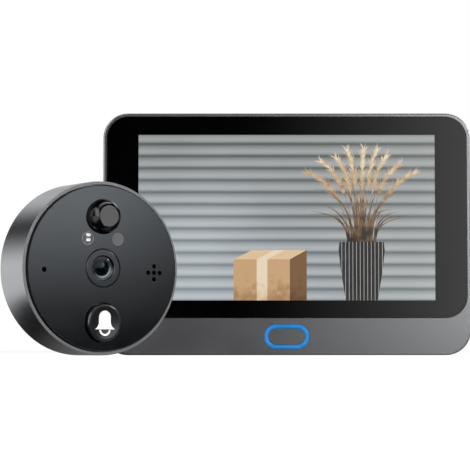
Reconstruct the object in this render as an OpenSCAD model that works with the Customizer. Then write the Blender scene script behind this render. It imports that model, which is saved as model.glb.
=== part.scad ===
// Peephole door camera: an indoor monitor with its door bracket, and the round outdoor
// camera that stands in front of it, turned a little to one side.
// Millimetres. +Z is up and the screen faces -Y. The origin is the middle of the face that
// the monitor stands on.
// Each unit is drawn in its own axes: x to the right, y up and z out of its front.

/* [Screen] */
// Width of the lit picture
screen_w = 95; // [85:0.5:115]
// Height of the lit picture
screen_h = 53.8; // [48:0.2:66]
// Edge of the display panel around the picture
panel_edge = 4.2; // [3.5:0.1:5]
// Thickness of the display panel
panel_t = 1.2; // [0.8:0.1:2]
// Thickness of the backlight tray behind the panel
backlight_t = 1.8; // [1.2:0.1:3]
// Thickness of the cover glass
glass_t = 1.1; // [0.8:0.1:2]
// Black border of the glass left and right of the picture
glass_border_x = 10.2; // [9:0.1:13]
// Black border of the glass above and below the picture
glass_border_y = 5.4; // [5.2:0.1:8]
// Corner radius of the glass
glass_corner = 7.1; // [5:0.1:9]
// How far the glass lies below the frame's front
glass_recess = 0.15; // [0.05:0.05:0.4]

/* [Monitor case] */
// Rim of the frame beside and above the glass
rim = 1.05; // [0.8:0.05:2]
// Band of the frame under the glass, where the button sits
button_band = 11.8; // [11:0.1:18]
// Wall of the frame and the rear cover
wall = 1.8; // [1.5:0.1:2]
// Outer corner radius of the case
case_corner = 8; // [7:0.1:10]
// Rounding of the frame's front edge
front_edge = 0.45; // [0.2:0.05:0.8]
// Rounding of the rear cover's back edge
rear_edge = 2; // [1.8:0.1:3]
// Depth of the rear cover
cover_d = 6.2; // [5.8:0.1:6.6]
// Width of the display window's ledge under the glass
ledge_t = 1.75; // [1.2:0.05:2.5]

/* [Home button] */
// Outer width of the light ring
ring_w = 14.4; // [12:0.1:20]
// Outer height of the light ring
ring_h = 7.8; // [6.5:0.1:8]
// Width of the lit band
ring_band = 1.25; // [0.8:0.05:1.5]
// Travel of the home button
home_travel = 0.5; // [0.3:0.05:0.6]

/* [Monitor electronics] */
// Thickness of the circuit boards
board_t = 1.2; // [0.8:0.1:1.6]
// Height of the sockets on the main board
socket_h = 3.2; // [3:0.1:4]
// Thickness of the battery
battery_t = 4.4; // [4.2:0.1:6]
// Height of the battery, up the back of the case
battery_h = 23; // [18:0.5:24]
// Diameter of the chime speaker
chime_d = 13.6; // [10:0.1:14]
// Travel of the power switch
power_travel = 2.5; // [1.5:0.1:3]

/* [Door bracket] */
// Width of the bracket plate
bracket_w = 76; // [70:0.5:77]
// Height of the bracket plate
bracket_h = 40; // [38:0.5:44]
// Thickness of the bracket's steel
bracket_t = 1.2; // [1:0.1:2]
// Diameter of the hole for the fixing tube and the ribbon cable
bracket_hole_d = 22; // [20:0.5:24]
// Spacing of the wood screw holes, across
screw_pitch_x = 48; // [44:0.5:50]
// Spacing of the wood screw holes, up
screw_pitch_y = 26; // [24:0.5:28]
// Diameter of the wood screw holes
wood_screw_d = 4.2; // [3.5:0.1:5]
// Travel that lifts the monitor off the hooks
hook_lift = 4.2; // [4:0.1:5]

/* [Outdoor camera] */
// Diameter of the camera's housing
camera_d = 53; // [52:0.5:65]
// Depth of the camera's housing
camera_depth = 16; // [16:0.5:24]
// Wall of the housing
camera_wall = 2.3; // [2:0.1:2.5]
// Bevel of the housing's front rim
camera_bevel = 0.2; // [0.2:0.05:0.6]
// Width of the rim around the front panel
camera_rim = 0.9; // [0.7:0.05:1.2]
// Width of the groove between the rim and the front panel
panel_groove = 0.3; // [0.15:0.05:0.5]
// How far the front panel stands out of the rim
panel_proud = 0.9; // [0.4:0.1:0.9]
// Thickness of the front panel
panel_disc_t = 1.7; // [1.2:0.1:2.5]
// Diameter of the motion sensor's lens
motion_d = 10.6; // [9.4:0.1:10.8]
// How far the motion sensor's lens stands out of the panel
motion_h = 4; // [3:0.1:6]
// Flat on the end of the motion sensor's lens
motion_flat_d = 6.8; // [5:0.1:7.4]
// Diameter of the bezel around the camera lens
bezel_d = 11.8; // [10.6:0.1:12]
// Diameter of the camera lens's front glass
lens_d = 7.2; // [5:0.1:7.2]
// Diameter of the two small round windows
window_d = 4.1; // [3:0.1:4.2]
// Distance of each small window from the middle line
window_x = 5.15; // [5.1:0.05:5.6]
// Diameter of the bell button
bell_d = 11.5; // [11:0.1:13]
// How far the bell button stands out of the panel
bell_h = 1.5; // [0.9:0.05:2]
// Travel of the bell button
bell_travel = 0.6; // [0.3:0.05:0.7]
// Diameter of the microphone hole
mic_hole_d = 1.6; // [1:0.1:2]
// Diameter of each speaker hole
speaker_hole_d = 1.4; // [1:0.1:1.7]
// Pitch of the speaker holes
speaker_pitch = 2; // [1.9:0.05:2.2]

/* [Door fixing] */
// Diameter of the hollow fixing stud
stud_d = 12; // [10:0.1:13]
// Length of the stud behind the camera
stud_l = 12; // [8:0.5:20]
// Bore of the stud for the ribbon cable
stud_bore_d = 8.4; // [6:0.1:9]
// Thickness of the foam gasket
gasket_t = 1.6; // [1.5:0.1:3]

/* [Placement] */
// Camera's middle, left of the monitor's middle
camera_x = -57.1; // [-80:0.1:-54]
// Clearance between the camera's back and the monitor's front
camera_clear = 3.05; // [1:0.05:30]
// Turn of the camera to the right
camera_turn = 31.5; // [0:0.5:36]

/* [Hidden] */
$fn = 96;

// Clearances: a moving fit, a dropped-in fit, a bonded joint and a gap that only keeps clear
run_gap = 0.1;
fit_gap = 0.15;
bond_gap = 0.05;
air_gap = 0.4;
// Overlap that joins two shapes of one solid
join = 0.3;

// Monitor, in its own axes: depths count from the back face
pad_t = 0.2;
battery_air = 1;
battery_z = wall + pad_t;
board_back = battery_z + battery_t + battery_air;
board_front = board_back + board_t;
backlight_back = board_front + socket_h + air_gap;
panel_back = backlight_back + backlight_t;
glass_back = panel_back + panel_t + bond_gap;
glass_front = glass_back + glass_t;
monitor_d = glass_front + glass_recess;
adhesive_t = 0.2;
ledge_front = glass_back - adhesive_t;
ledge_back = ledge_front - ledge_t;
panel_w = screen_w + 2 * panel_edge;
panel_h = screen_h + 2 * panel_edge;
glass_w = screen_w + 2 * glass_border_x;
glass_h = screen_h + 2 * glass_border_y;
monitor_w = glass_w + 2 * rim;
monitor_h = glass_h + rim + button_band;
glass_y = button_band + glass_h / 2;
window_gap = 0.4;
lip_t = 0.8;
lip_h = 1;
inner_x = monitor_w / 2 - wall;

// Case screws, in bosses beside the display panel
boss_r = 2.1;
boss_x = inner_x - boss_r + join;
boss_low = 7;
boss_drop = 7.5;
boss_high = monitor_h - boss_drop;
boss_split = cover_d + lip_h + fit_gap;
case_screw_r = 0.85;
case_head_r = 1.9;
case_head_h = 1.2;
case_head_z = 0.4;
case_screw_l = 8;
screw_end = 0.6;

// Main board and what stands on it
board_side = 2.9;
board_air = 1.8;
board_w = 2 * (inner_x - board_side);
board_low = 20;
board_high = boss_high - boss_r - board_air;
board_post_r = 2.2;
board_post_inset = 3.8;
board_post_x = board_w / 2 - board_post_inset;
board_post_low = board_low + board_post_inset;
board_post_high = board_high - board_post_inset;
small_screw_r = 0.8;
small_head_r = 1.5;
small_head_h = 1;
small_screw_l = 3.6;
battery_side = 1.6;
battery_top_air = 1;
battery_w = 2 * (board_post_x - board_post_r - battery_side);
battery_low = monitor_h - 2 * rear_edge - battery_top_air - battery_h;
chip_x = 14;
module_x = -20;

// Sockets in the right-hand wall and the switch in the left-hand one
port_recess = 0.4;
port_gap = 0.15;
charge_w = 9;
charge_l = 7.4;
charge_shell = 0.3;
charge_tongue_w = 6.7;
charge_tongue_t = 0.7;
charge_tongue_sink = 1;
charge_back = 1;
card_w = 14;
card_l = 13;
card_t = 1.9;
card_mouth_w = 11.4;
card_mouth_t = 0.9;
card_depth = 11;
card_edge = 0.5;
card_air = 1;
port_space = 4;
card_y = board_post_high - small_head_r - card_air - card_w / 2;
charge_y = card_y - card_w / 2 - port_space - charge_w / 2;
switch_y = (board_post_low + board_post_high) / 2;
switch_base_w = 9;
switch_base_l = 4.6;
switch_base_h = 2.6;
slider_w = 3;
slider_h = 1.4;
slider_pocket = 0.8;
pocket_side = 1;
pocket_edge = 0.7;
slider_rise = 0.6;
slider_z = board_front + slider_rise;

// Ribbon socket behind the bracket's hole
ribbon_y = 31;
ribbon_w = 14;
ribbon_h = 7.4;
ribbon_wall = 1.2;
ribbon_mouth_z = 0.6;
ribbon_depth = 5;
chip_rise = 8;
chip_y = ribbon_y + chip_rise;

// Chime speaker beside the bracket, inwards from the cover's lip, in a collar
chime_air = 1.7;
chime_x = -(inner_x - fit_gap - lip_t - chime_air - chime_d / 2);
chime_y = 37;
chime_t = 3.8;
collar_t = 1;
collar_h = 1.4;
grille_hole_r = 0.6;
grille_pitch = 2.2;

// Home button, its ring and its board
home_y = button_band / 2;
ring_in_w = ring_w - 2 * ring_band;
ring_in_h = ring_h - 2 * ring_band;
ring_flange = 0.8;
ring_flange_t = 0.6;
home_flange = 0.6;
home_flange_t = 1;
home_flange_top = ledge_back - ring_flange_t - run_gap;
home_stem_r = 1;
home_stem_l = 0.5;
home_switch_w = 4.5;
home_switch_h = 0.8;
home_switch_top = home_flange_top - home_flange_t - home_stem_l - home_travel - bond_gap;
button_board_front = home_switch_top - home_switch_h;
button_board_w = 40;
button_board_h = 8;
button_board_t = 1;
button_post_inset = 3;
button_post_x = button_board_w / 2 - button_post_inset;
button_post_r = 1.7;
button_board_low = 2.4;
button_board_y = button_board_low + button_board_h / 2;
mic_w = 3;
mic_t = 1;
mic_x = 9;
mic_port_r = 0.5;

// Door bracket: each hook's stem lies at the top of its slot, with its lip behind the wall
bracket_gap = 0.2;
bracket_y = ribbon_y;
bracket_corner = 4;
hook_w = 8;
hook_stem = 1.4;
hook_t = 1.2;
hook_inset = 2;
hook_x = bracket_w / 2 - hook_w / 2 - hook_inset;
hook_clear = 0.3;
hook_rise = hook_lift - hook_clear;
hook_pitch = 22;
slot_gap = 0.3;
slot_h = hook_stem + hook_lift + slot_gap + run_gap;
hook_drop = 1;
hook_tops = [bracket_y - hook_pitch / 2 - hook_drop, bracket_y + hook_pitch / 2 - hook_drop];

// Camera, in its own axes: depths count from the back of the housing
camera_r = camera_d / 2;
panel_disc_r = camera_r - camera_rim - panel_groove;
camera_inner_r = camera_r - camera_wall;
camera_chamfer = 0.4;
plate_air = 0.2;
panel_disc_front = camera_depth + panel_proud;
panel_disc_back = panel_disc_front - panel_disc_t;
plate_t = 1.8;
plate_back = 0.1;
plate_front = plate_back + plate_t;
plate_seat = 0.8;
plate_r = camera_inner_r + plate_seat;
camera_post_r = 2.2;
camera_post_sink = 0.4;
camera_post_at = camera_inner_r - camera_post_r + camera_post_sink;
camera_post_turns = [30, 150, 270];
camera_post_h = 5.2;
camera_board_back = plate_front + run_gap + camera_post_h;
camera_board_front = camera_board_back + board_t;
camera_board_r = camera_inner_r - air_gap;
tiny_screw_r = 0.75;
tiny_head_r = 1.6;
tiny_head_h = 0.9;
tiny_screw_l = 2.6;

// Faces of the front panel's features: the motion lens and the windows keep their share of
// the panel's radius, and the others are placed inwards from its edge
motion_r = motion_d / 2;
motion_share = 0.6193;
motion_y = panel_disc_r * motion_share;
motion_flange = 0.6;
motion_flange_t = 1;
motion_shoulder_share = 0.98;
motion_shoulder = motion_r * motion_shoulder_share;
motion_foot = 0.2;
motion_skin = 0.8;
motion_flat_edge = 0.4;
motion_top = panel_disc_front + motion_h;
motion_arc_x = motion_r - motion_shoulder;
motion_arc_z = max(panel_disc_back + motion_foot, motion_top
    - sqrt(pow(motion_shoulder, 2) - pow(motion_flat_d / 2 - motion_arc_x, 2)));
motion_can_r = 4.05;
motion_can_h = 4.6;
motion_can_foot = 0.5;
motion_can_foot_t = 0.6;
motion_eye_w = 4;
motion_eye_h = 3;
motion_eye_sink = 0.2;
window_r = window_d / 2;
window_share = 0.3531;
window_y = panel_disc_r * window_share;
led_r = 1.45;
led_foot = 0.35;
led_foot_h = 1;
led_air = 0.3;
bezel_r = bezel_d / 2;
bezel_flange = 0.45;
bezel_flange_t = 0.6;
bezel_edge = 0.5;
bezel_air = 0.75;
lens_r = lens_d / 2;
bezel_in_r = lens_r + bezel_air;
lens_crown = 1;
barrel_wall = 0.55;
barrel_r = lens_r + barrel_wall;
lens_sink = 0.8;
barrel_top = panel_disc_front - lens_sink;
barrel_foot = 1;
barrel_bore_share = 0.6;
barrel_seat = 1.2;
holder_share = 0.468;
holder_w = camera_r * holder_share;
holder_h = 3.4;
holder_wall = 1;
holder_neck_r = barrel_r + holder_wall;
holder_drop = 0.9;
holder_top = panel_disc_back - bezel_flange_t - holder_drop;
sensor_w = 5.25;
sensor_t = 0.8;
bell_r = bell_d / 2;
bell_inset = 2.9;
bell_y = -(panel_disc_r - bell_inset - bell_r);
bell_front = panel_disc_front + bell_h;
bell_gap = 0.5;
bell_edge = 0.5;
bell_flange = 0.5;
bell_hole_r = bell_r + bell_gap;
bell_flange_t = 1;
bell_flange_top = panel_disc_back - bond_gap;
bell_stem_r = 1.5;
bell_stem_l = 1.3;
bell_dish = 0.25;
bell_rim = 0.85;
bell_dish_r = bell_r - bell_rim;
bell_sphere_r = (pow(bell_dish_r, 2) + pow(bell_dish, 2)) / (2 * bell_dish);
bell_inlay_t = 0.4;
bell_switch_w = 6;
bell_switch_top = bell_flange_top - bell_flange_t - bell_stem_l - bell_travel - run_gap;
mic_inset = 5.47;
mic_hole_x = -(panel_disc_r - mic_inset);
mic_hole_y = -0.8;
capsule_r = 2;
capsule_h = 2.8;
capsule_port = 0.4;
speaker_inset = 7.58;
speaker_x = panel_disc_r - speaker_inset;
speaker_y = -1.1;
speaker_r = 5;
speaker_h = 3.2;
speaker_step = 0.8;
speaker_rim_t = 1;
speaker_cone = 0.5;
mesh_r = 4;
mesh_t = 0.2;

// Bell sign: a domed body with a flared brim, over a half-ring clapper
sign_waist = 2;
sign_dome_y = 1.7;
sign_flare = 2.6;
sign_flare_y = 0.4;
sign_brim = 3.3;
sign_brim_y = -1.97;
sign_clapper_y = -2;
sign_clapper_r = 1.93;
sign_clapper_in = 1.35;
sign_clapper_gap = 0.2;

// Rear of the camera
stud_r = stud_d / 2;
camera_behind = max(camera_r * sin(camera_turn),
    stud_l * cos(camera_turn) + stud_r * sin(camera_turn));
camera_gap = camera_clear + camera_behind + camera_depth * cos(camera_turn);
stud_neck = 0.4;
stud_neck_r = stud_r + stud_neck;
stud_flange = 2.1;
stud_flange_r = stud_neck_r + stud_flange;
stud_flange_t = 1.3;
nut_t = 1.4;
nut_wall = 1.6;
nut_across = 2 * (stud_neck_r + nut_wall);
gasket_air = 0.8;
gasket_in = nut_across / sqrt(3) + gasket_air;
gasket_edge = 1;
gasket_out = camera_post_at - tiny_head_r - gasket_edge;
connector_w = 10;
connector_h = 5;
connector_t = 2.4;
connector_y = 12;
connector_side = 1;
connector_mouth = 1.5;
connector_mouth_t = 0.6;

// Colours
case_grey = "#5f6062";
cover_black = "#1d1e20";
gloss_black = "#08090a";
panel_grey = "#3c3e41";
alloy_grey = "#6d7074";
ring_blue = "#2f93dd";
board_green = "#1d5a3a";
part_black = "#18181a";
steel_grey = "#a9abae";
brass_gold = "#b5944f";

// Places one unit in the room
module in_monitor() {
    translate([0, monitor_d / 2, 0]) rotate([90, 0, 0]) children();
}

module in_camera() {
    translate([camera_x, -monitor_d / 2 - camera_gap, camera_r])
        rotate([0, 0, camera_turn]) rotate([90, 0, 0])
            translate([0, 0, -camera_depth]) children();
}

// Flat outlines
module rounded_rect(w, h, r) {
    square([w - 2 * r, h], center = true);
    square([w, h - 2 * r], center = true);
    for (x = [-1, 1], y = [-1, 1])
        translate([x * (w / 2 - r), y * (h / 2 - r)]) circle(r);
}

module stadium(w, h) {
    square([w - h, h], center = true);
    for (x = [-1, 1]) translate([x * (w - h) / 2, 0]) circle(h / 2);
}

// A profile carried round a rounded rectangle: its x counts outwards from the outline
module ring_sweep(w, h, r) {
    for (i = [0 : 3]) {
        long = i % 2 == 0 ? h : w;
        wide = i % 2 == 0 ? w : h;
        rotate(i * 90) {
            translate([wide / 2, long / 2 - r, 0])
                rotate([90, 0, 0]) linear_extrude(long - 2 * r) children();
            translate([wide / 2 - r, long / 2 - r, 0])
                rotate_extrude(angle = 90) translate([r, 0]) children();
        }
    }
}

// A slab with rounded corners, from depth z upwards
module slab(w, h, r, z, t) {
    translate([0, 0, z]) linear_extrude(t) rounded_rect(w, h, r);
}

module tube(r_out, r_in, h) {
    difference() {
        cylinder(h = h, r = r_out);
        translate([0, 0, -1]) cylinder(h = h + 2, r = r_in);
    }
}

// A pan-head screw with a cross recess: its head stands on z = 0 and its shank hangs below
module screw(head_r, head_h, shank_r, shank_l) {
    cut_w = head_r * 0.3;
    cut_l = head_r * 1.2;
    difference() {
        union() {
            cylinder(h = head_h, r = head_r);
            translate([0, 0, -shank_l]) cylinder(h = shank_l, r = shank_r);
        }
        for (turn = [0, 90])
            rotate(turn) translate([0, 0, head_h])
                cube([cut_l, cut_w, head_h], center = true);
    }
}

module at_case_screws() {
    for (x = [-boss_x, boss_x], y = [boss_low, boss_high]) translate([x, y, 0]) children();
}

module at_board_posts() {
    for (x = [-board_post_x, board_post_x], y = [board_post_low, board_post_high])
        translate([x, y, 0]) children();
}

module at_button_posts() {
    for (x = [-button_post_x, button_post_x]) translate([x, button_board_y, 0]) children();
}

module at_hooks() {
    for (x = [-hook_x, hook_x], y = hook_tops) translate([x, y, 0]) children();
}

module at_camera_posts() {
    for (turn = camera_post_turns) rotate(turn) translate([camera_post_at, 0, 0]) children();
}

module at_speaker_holes() {
    translate([speaker_x, speaker_y, 0])
        for (p = [[0, 0], [1, 0], [-1, 0], [0, 1], [0, -1]])
            translate([p[0] * speaker_pitch, p[1] * speaker_pitch, 0]) children();
}

// Monitor pieces

module frame_profile() {
    translate([-wall, cover_d]) square([wall, monitor_d - front_edge - cover_d]);
    translate([-wall, cover_d]) square([wall - front_edge, monitor_d - cover_d]);
    translate([-front_edge, monitor_d - front_edge]) circle(front_edge);
}

module front_frame() {
    color(case_grey) in_monitor() difference() {
        union() {
            translate([0, monitor_h / 2, 0])
                ring_sweep(monitor_w, monitor_h, case_corner) frame_profile();
            translate([0, monitor_h / 2, 0])
                slab(monitor_w - wall, monitor_h - wall, case_corner - wall / 2,
                    ledge_back, monitor_d - ledge_back);
            at_case_screws() translate([0, 0, boss_split])
                cylinder(h = ledge_back + join - boss_split, r = boss_r);
            at_button_posts() translate([0, 0, button_board_front])
                cylinder(h = ledge_back + join - button_board_front, r = button_post_r);
        }
        translate([0, glass_y, 0])
            slab(glass_w + 2 * bond_gap, glass_h + 2 * bond_gap, glass_corner + bond_gap,
                ledge_front, monitor_d);
        translate([0, glass_y, ledge_back])
            cube([panel_w + 2 * window_gap, panel_h + 2 * window_gap, 2 * monitor_d],
                center = true);
        translate([0, home_y, 0]) linear_extrude(2 * monitor_d)
            stadium(ring_w + 2 * bond_gap, ring_h + 2 * bond_gap);
        at_case_screws() cylinder(h = case_head_z + case_head_h + case_screw_l + screw_end,
            r = case_screw_r + bond_gap);
        at_button_posts() translate([0, 0, button_board_front - 1])
            cylinder(h = 1 + small_screw_l, r = small_screw_r + bond_gap);
        charge_cut();
        card_cut();
        slider_cut();
        translate([mic_x, 0, button_board_front + mic_t / 2])
            rotate([90, 0, 0]) cylinder(h = 4 * wall, r = mic_port_r, center = true);
    }
}

module charge_cut() {
    translate([inner_x - join, charge_y, board_front + socket_h / 2]) rotate([90, 0, 90])
        linear_extrude(2 * wall)
            stadium(charge_w + 2 * port_gap, socket_h + 2 * port_gap);
}

module card_cut() {
    translate([inner_x, card_y, board_front + card_t / 2])
        cube([4 * wall, card_mouth_w + 2 * card_edge, card_t + 2 * port_gap], center = true);
}

module slider_cut() {
    reach = slider_w + power_travel + 2 * run_gap;
    translate([-inner_x, switch_y, slider_z + slider_h / 2])
        cube([4 * wall, reach, slider_h + 2 * run_gap], center = true);
    translate([-monitor_w / 2, switch_y, slider_z + slider_h / 2])
        cube([2 * slider_pocket, reach + 2 * pocket_side, slider_h + 2 * pocket_edge],
            center = true);
}

module cover_glass() {
    color(gloss_black) in_monitor() translate([0, glass_y, 0])
        slab(glass_w - 2 * bond_gap, glass_h - 2 * bond_gap, glass_corner - bond_gap,
            glass_back, glass_t);
}

module glass_adhesive() {
    inset = 0.1;
    color(part_black) in_monitor() translate([0, glass_y, 0]) difference() {
        slab(glass_w - 2 * inset, glass_h - 2 * inset, glass_corner - inset,
            ledge_front, adhesive_t);
        translate([0, 0, ledge_front])
            cube([panel_w + 2 * window_gap, panel_h + 2 * window_gap, 2], center = true);
    }
}

module display_panel() {
    color("#b9bfc2") in_monitor() translate([0, glass_y, panel_back + panel_t / 2])
        cube([panel_w, panel_h, panel_t], center = true);
}

module display_backlight() {
    lip = 1.2;
    color(steel_grey) in_monitor() translate([0, glass_y, backlight_back]) difference() {
        translate([0, 0, backlight_t / 2])
            cube([panel_w, panel_h, backlight_t], center = true);
        for (x = [-1, 1], y = [-1, 1])
            translate([x * panel_w / 4, y * panel_h / 4, 0])
                cube([panel_w / 2 - 4 * lip, panel_h / 2 - 4 * lip, 0.6], center = true);
    }
}

module button_light_ring() {
    color(ring_blue) in_monitor() translate([0, home_y, 0]) difference() {
        union() {
            translate([0, 0, ledge_back]) linear_extrude(monitor_d - ledge_back)
                stadium(ring_w, ring_h);
            translate([0, 0, ledge_back - ring_flange_t]) linear_extrude(ring_flange_t)
                stadium(ring_w + 2 * ring_flange, ring_h);
        }
        translate([0, 0, ledge_back - 1]) linear_extrude(monitor_d)
            stadium(ring_in_w, ring_in_h);
    }
}

module home_button() {
    color(case_grey) in_monitor() translate([0, home_y, 0]) {
        translate([0, 0, home_flange_top - join])
            linear_extrude(monitor_d - bond_gap - home_flange_top + join)
                stadium(ring_in_w - 2 * run_gap, ring_in_h - 2 * run_gap);
        translate([0, 0, home_flange_top - home_flange_t]) linear_extrude(home_flange_t)
            stadium(ring_in_w + 2 * home_flange, ring_in_h + 2 * home_flange);
        translate([0, 0, home_flange_top - home_flange_t - home_stem_l])
            cylinder(h = home_stem_l + join, r = home_stem_r);
    }
}

module home_switch() {
    color(part_black) in_monitor()
        translate([0, home_y, button_board_front + home_switch_h / 2])
            cube([home_switch_w, home_switch_w, home_switch_h], center = true);
}

module button_board() {
    color(board_green) in_monitor() difference() {
        translate([0, button_board_y, button_board_front - button_board_t / 2])
            cube([button_board_w, button_board_h, button_board_t], center = true);
        at_button_posts() cylinder(h = monitor_d, r = small_screw_r + run_gap);
    }
}

module monitor_microphone() {
    color(steel_grey) in_monitor()
        translate([mic_x, button_board_y - button_board_h / 2 + mic_w / 2,
                button_board_front + mic_t / 2])
            cube([mic_w + 1, mic_w, mic_t], center = true);
}

module main_board() {
    color(board_green) in_monitor() difference() {
        translate([-board_w / 2, board_low, board_back])
            cube([board_w, board_high - board_low, board_t]);
        at_board_posts() cylinder(h = monitor_d, r = small_screw_r + run_gap);
    }
}

module processor_shield() {
    can_w = 26;
    can_h = 20;
    can_t = 2;
    lid_step = 0.4;
    lid_inset = 1;
    color(steel_grey) in_monitor() translate([chip_x, chip_y, board_front]) {
        translate([0, 0, can_t / 2 - lid_step / 2])
            cube([can_w, can_h, can_t - lid_step], center = true);
        translate([0, 0, can_t / 2]) cube([can_w - 2 * lid_inset, can_h - 2 * lid_inset, can_t],
            center = true);
    }
}

module wireless_module() {
    card_long = 20;
    card_wide = 14;
    card_thick = 0.8;
    can_t = 2.2;
    can_end = 5;
    can_edge = 1;
    color(board_green) in_monitor() translate([module_x, chip_y, board_front]) {
        translate([0, 0, card_thick / 2])
            cube([card_long, card_wide, card_thick], center = true);
        translate([(can_end - can_edge) / 2, 0, can_t / 2])
            cube([card_long - can_end - can_edge, card_wide - 2 * can_edge, can_t], center = true);
    }
}

module battery_pack() {
    cap = 3;
    cap_drop = 0.6;
    cap_step = 0.8;
    color("#7f8a95") in_monitor()
        translate([0, battery_low + battery_h / 2, battery_z + battery_t / 2]) {
            cube([battery_w - 2 * cap, battery_h, battery_t], center = true);
            for (x = [-1, 1])
                translate([x * (battery_w / 2 - cap), 0, 0])
                    cube([2 * cap, battery_h - 2 * cap_drop, battery_t - 2 * cap_step], center = true);
        }
}

module battery_pad() {
    share_w = 0.8;
    share_h = 0.7;
    color(part_black) in_monitor()
        translate([0, battery_low + battery_h / 2, (wall + battery_z) / 2])
            cube([battery_w * share_w, battery_h * share_h, battery_z - wall], center = true);
}

module chime_speaker() {
    rim_h = 1;
    rim_w = 1.4;
    cone_edge = 2.2;
    cone_sink = 0.5;
    color(part_black) in_monitor() translate([chime_x, chime_y, wall]) difference() {
        union() {
            cylinder(h = rim_h, r = chime_d / 2);
            cylinder(h = chime_t, r = chime_d / 2 - rim_w);
        }
        translate([0, 0, -1]) cylinder(h = 1 + cone_sink, r = chime_d / 2 - cone_edge);
    }
}

module charge_socket() {
    color(steel_grey) in_monitor()
        translate([monitor_w / 2 - port_recess - charge_l, charge_y, board_front + socket_h / 2])
            rotate([90, 0, 90]) {
                difference() {
                    linear_extrude(charge_l) stadium(charge_w, socket_h);
                    translate([0, 0, charge_back]) linear_extrude(charge_l)
                        stadium(charge_w - 2 * charge_shell, socket_h - 2 * charge_shell);
                }
                translate([-charge_tongue_w / 2, -charge_tongue_t / 2, charge_back / 2])
                    cube([charge_tongue_w, charge_tongue_t,
                        charge_l - charge_back / 2 - charge_tongue_sink]);
            }
}

module card_slot() {
    color(steel_grey) in_monitor()
        translate([inner_x - run_gap - card_l, card_y - card_w / 2, board_front]) difference() {
            cube([card_l, card_w, card_t]);
            translate([card_l - card_depth, (card_w - card_mouth_w) / 2,
                    (card_t - card_mouth_t) / 2])
                cube([card_l, card_mouth_w, card_mouth_t]);
        }
}

module power_switch_base() {
    color(part_black) in_monitor()
        translate([-inner_x + run_gap, switch_y - switch_base_w / 2, board_front])
            cube([switch_base_l, switch_base_w, switch_base_h]);
}

module power_slider() {
    ridge = 0.3;
    color(part_black) in_monitor()
        translate([-monitor_w / 2 + run_gap, switch_y - (slider_w + power_travel) / 2, slider_z])
            difference() {
                cube([wall - bond_gap, slider_w, slider_h]);
                for (i = [1 : 3])
                    translate([-1, i * slider_w / 4 - ridge / 2, -1])
                        cube([1 + ridge, ridge, slider_h + 2]);
            }
}

module ribbon_socket() {
    color("#d9d4c4") in_monitor() translate([0, ribbon_y, ribbon_mouth_z]) difference() {
        translate([0, 0, (board_back - ribbon_mouth_z) / 2])
            cube([ribbon_w, ribbon_h, board_back - ribbon_mouth_z], center = true);
        translate([0, 0, ribbon_depth / 2 - 1])
            cube([ribbon_w - 2 * ribbon_wall, ribbon_h - 2 * ribbon_wall, ribbon_depth + 2],
                center = true);
    }
}

module cover_profile() {
    lip_out = wall + fit_gap;
    lip_root = 2;
    root_drop = 0.2;
    floor_run = 2;
    translate([-wall, rear_edge]) square([wall, cover_d - rear_edge]);
    translate([-rear_edge, rear_edge]) circle(rear_edge);
    translate([-rear_edge - floor_run, 0]) square([floor_run, wall]);
    translate([-lip_out - lip_t, cover_d - lip_root]) square([lip_t, lip_root + lip_h]);
    translate([-lip_out - join, cover_d - lip_root]) square([2 * join, lip_root - root_drop]);
}

module rear_cover() {
    color(cover_black) in_monitor() difference() {
        union() {
            translate([0, monitor_h / 2, 0]) {
                ring_sweep(monitor_w, monitor_h, case_corner) cover_profile();
                slab(monitor_w - 2 * rear_edge, monitor_h - 2 * rear_edge,
                    case_corner - rear_edge, 0, wall);
            }
            at_case_screws() {
                cylinder(h = cover_d, r = boss_r);
                cylinder(h = boss_split - bond_gap, r = boss_r - join - fit_gap);
            }
            at_board_posts() cylinder(h = board_back, r = board_post_r);
            translate([chime_x, chime_y, 0])
                tube(chime_d / 2 + collar_t, chime_d / 2 + fit_gap, wall + collar_h);
        }
        at_case_screws() {
            translate([0, 0, -1]) cylinder(h = monitor_d, r = case_screw_r + run_gap);
            translate([0, 0, -1])
                cylinder(h = 1 + case_head_z + case_head_h, r = case_head_r + run_gap);
        }
        at_board_posts() translate([0, 0, board_back - small_screw_l])
            cylinder(h = monitor_d, r = small_screw_r + bond_gap);
        at_hooks() translate([-hook_w / 2 - slot_gap, run_gap - slot_h, -1])
            cube([hook_w + 2 * slot_gap, slot_h, wall + collar_h + 2]);
        translate([0, ribbon_y, 0])
            cube([ribbon_w + 2 * slot_gap, ribbon_h + 2 * slot_gap, 4 * wall], center = true);
        translate([chime_x, chime_y, -1])
            for (x = [-2 : 2], y = [-2 : 2])
                if (abs(x) + abs(y) < 4)
                    translate([x * grille_pitch, y * grille_pitch, 0])
                        cylinder(h = wall + 2, r = grille_hole_r);
    }
}

module case_screws() {
    color(steel_grey) in_monitor() at_case_screws()
        translate([0, 0, case_head_z + case_head_h]) rotate([180, 0, 0])
            screw(case_head_r, case_head_h, case_screw_r, case_screw_l);
}

module board_screws() {
    color(steel_grey) in_monitor() {
        at_board_posts() translate([0, 0, board_front])
            screw(small_head_r, small_head_h, small_screw_r, small_screw_l);
        at_button_posts() translate([0, 0, button_board_front - button_board_t])
            rotate([180, 0, 0])
                screw(small_head_r, small_head_h, small_screw_r, small_screw_l);
    }
}

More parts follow.
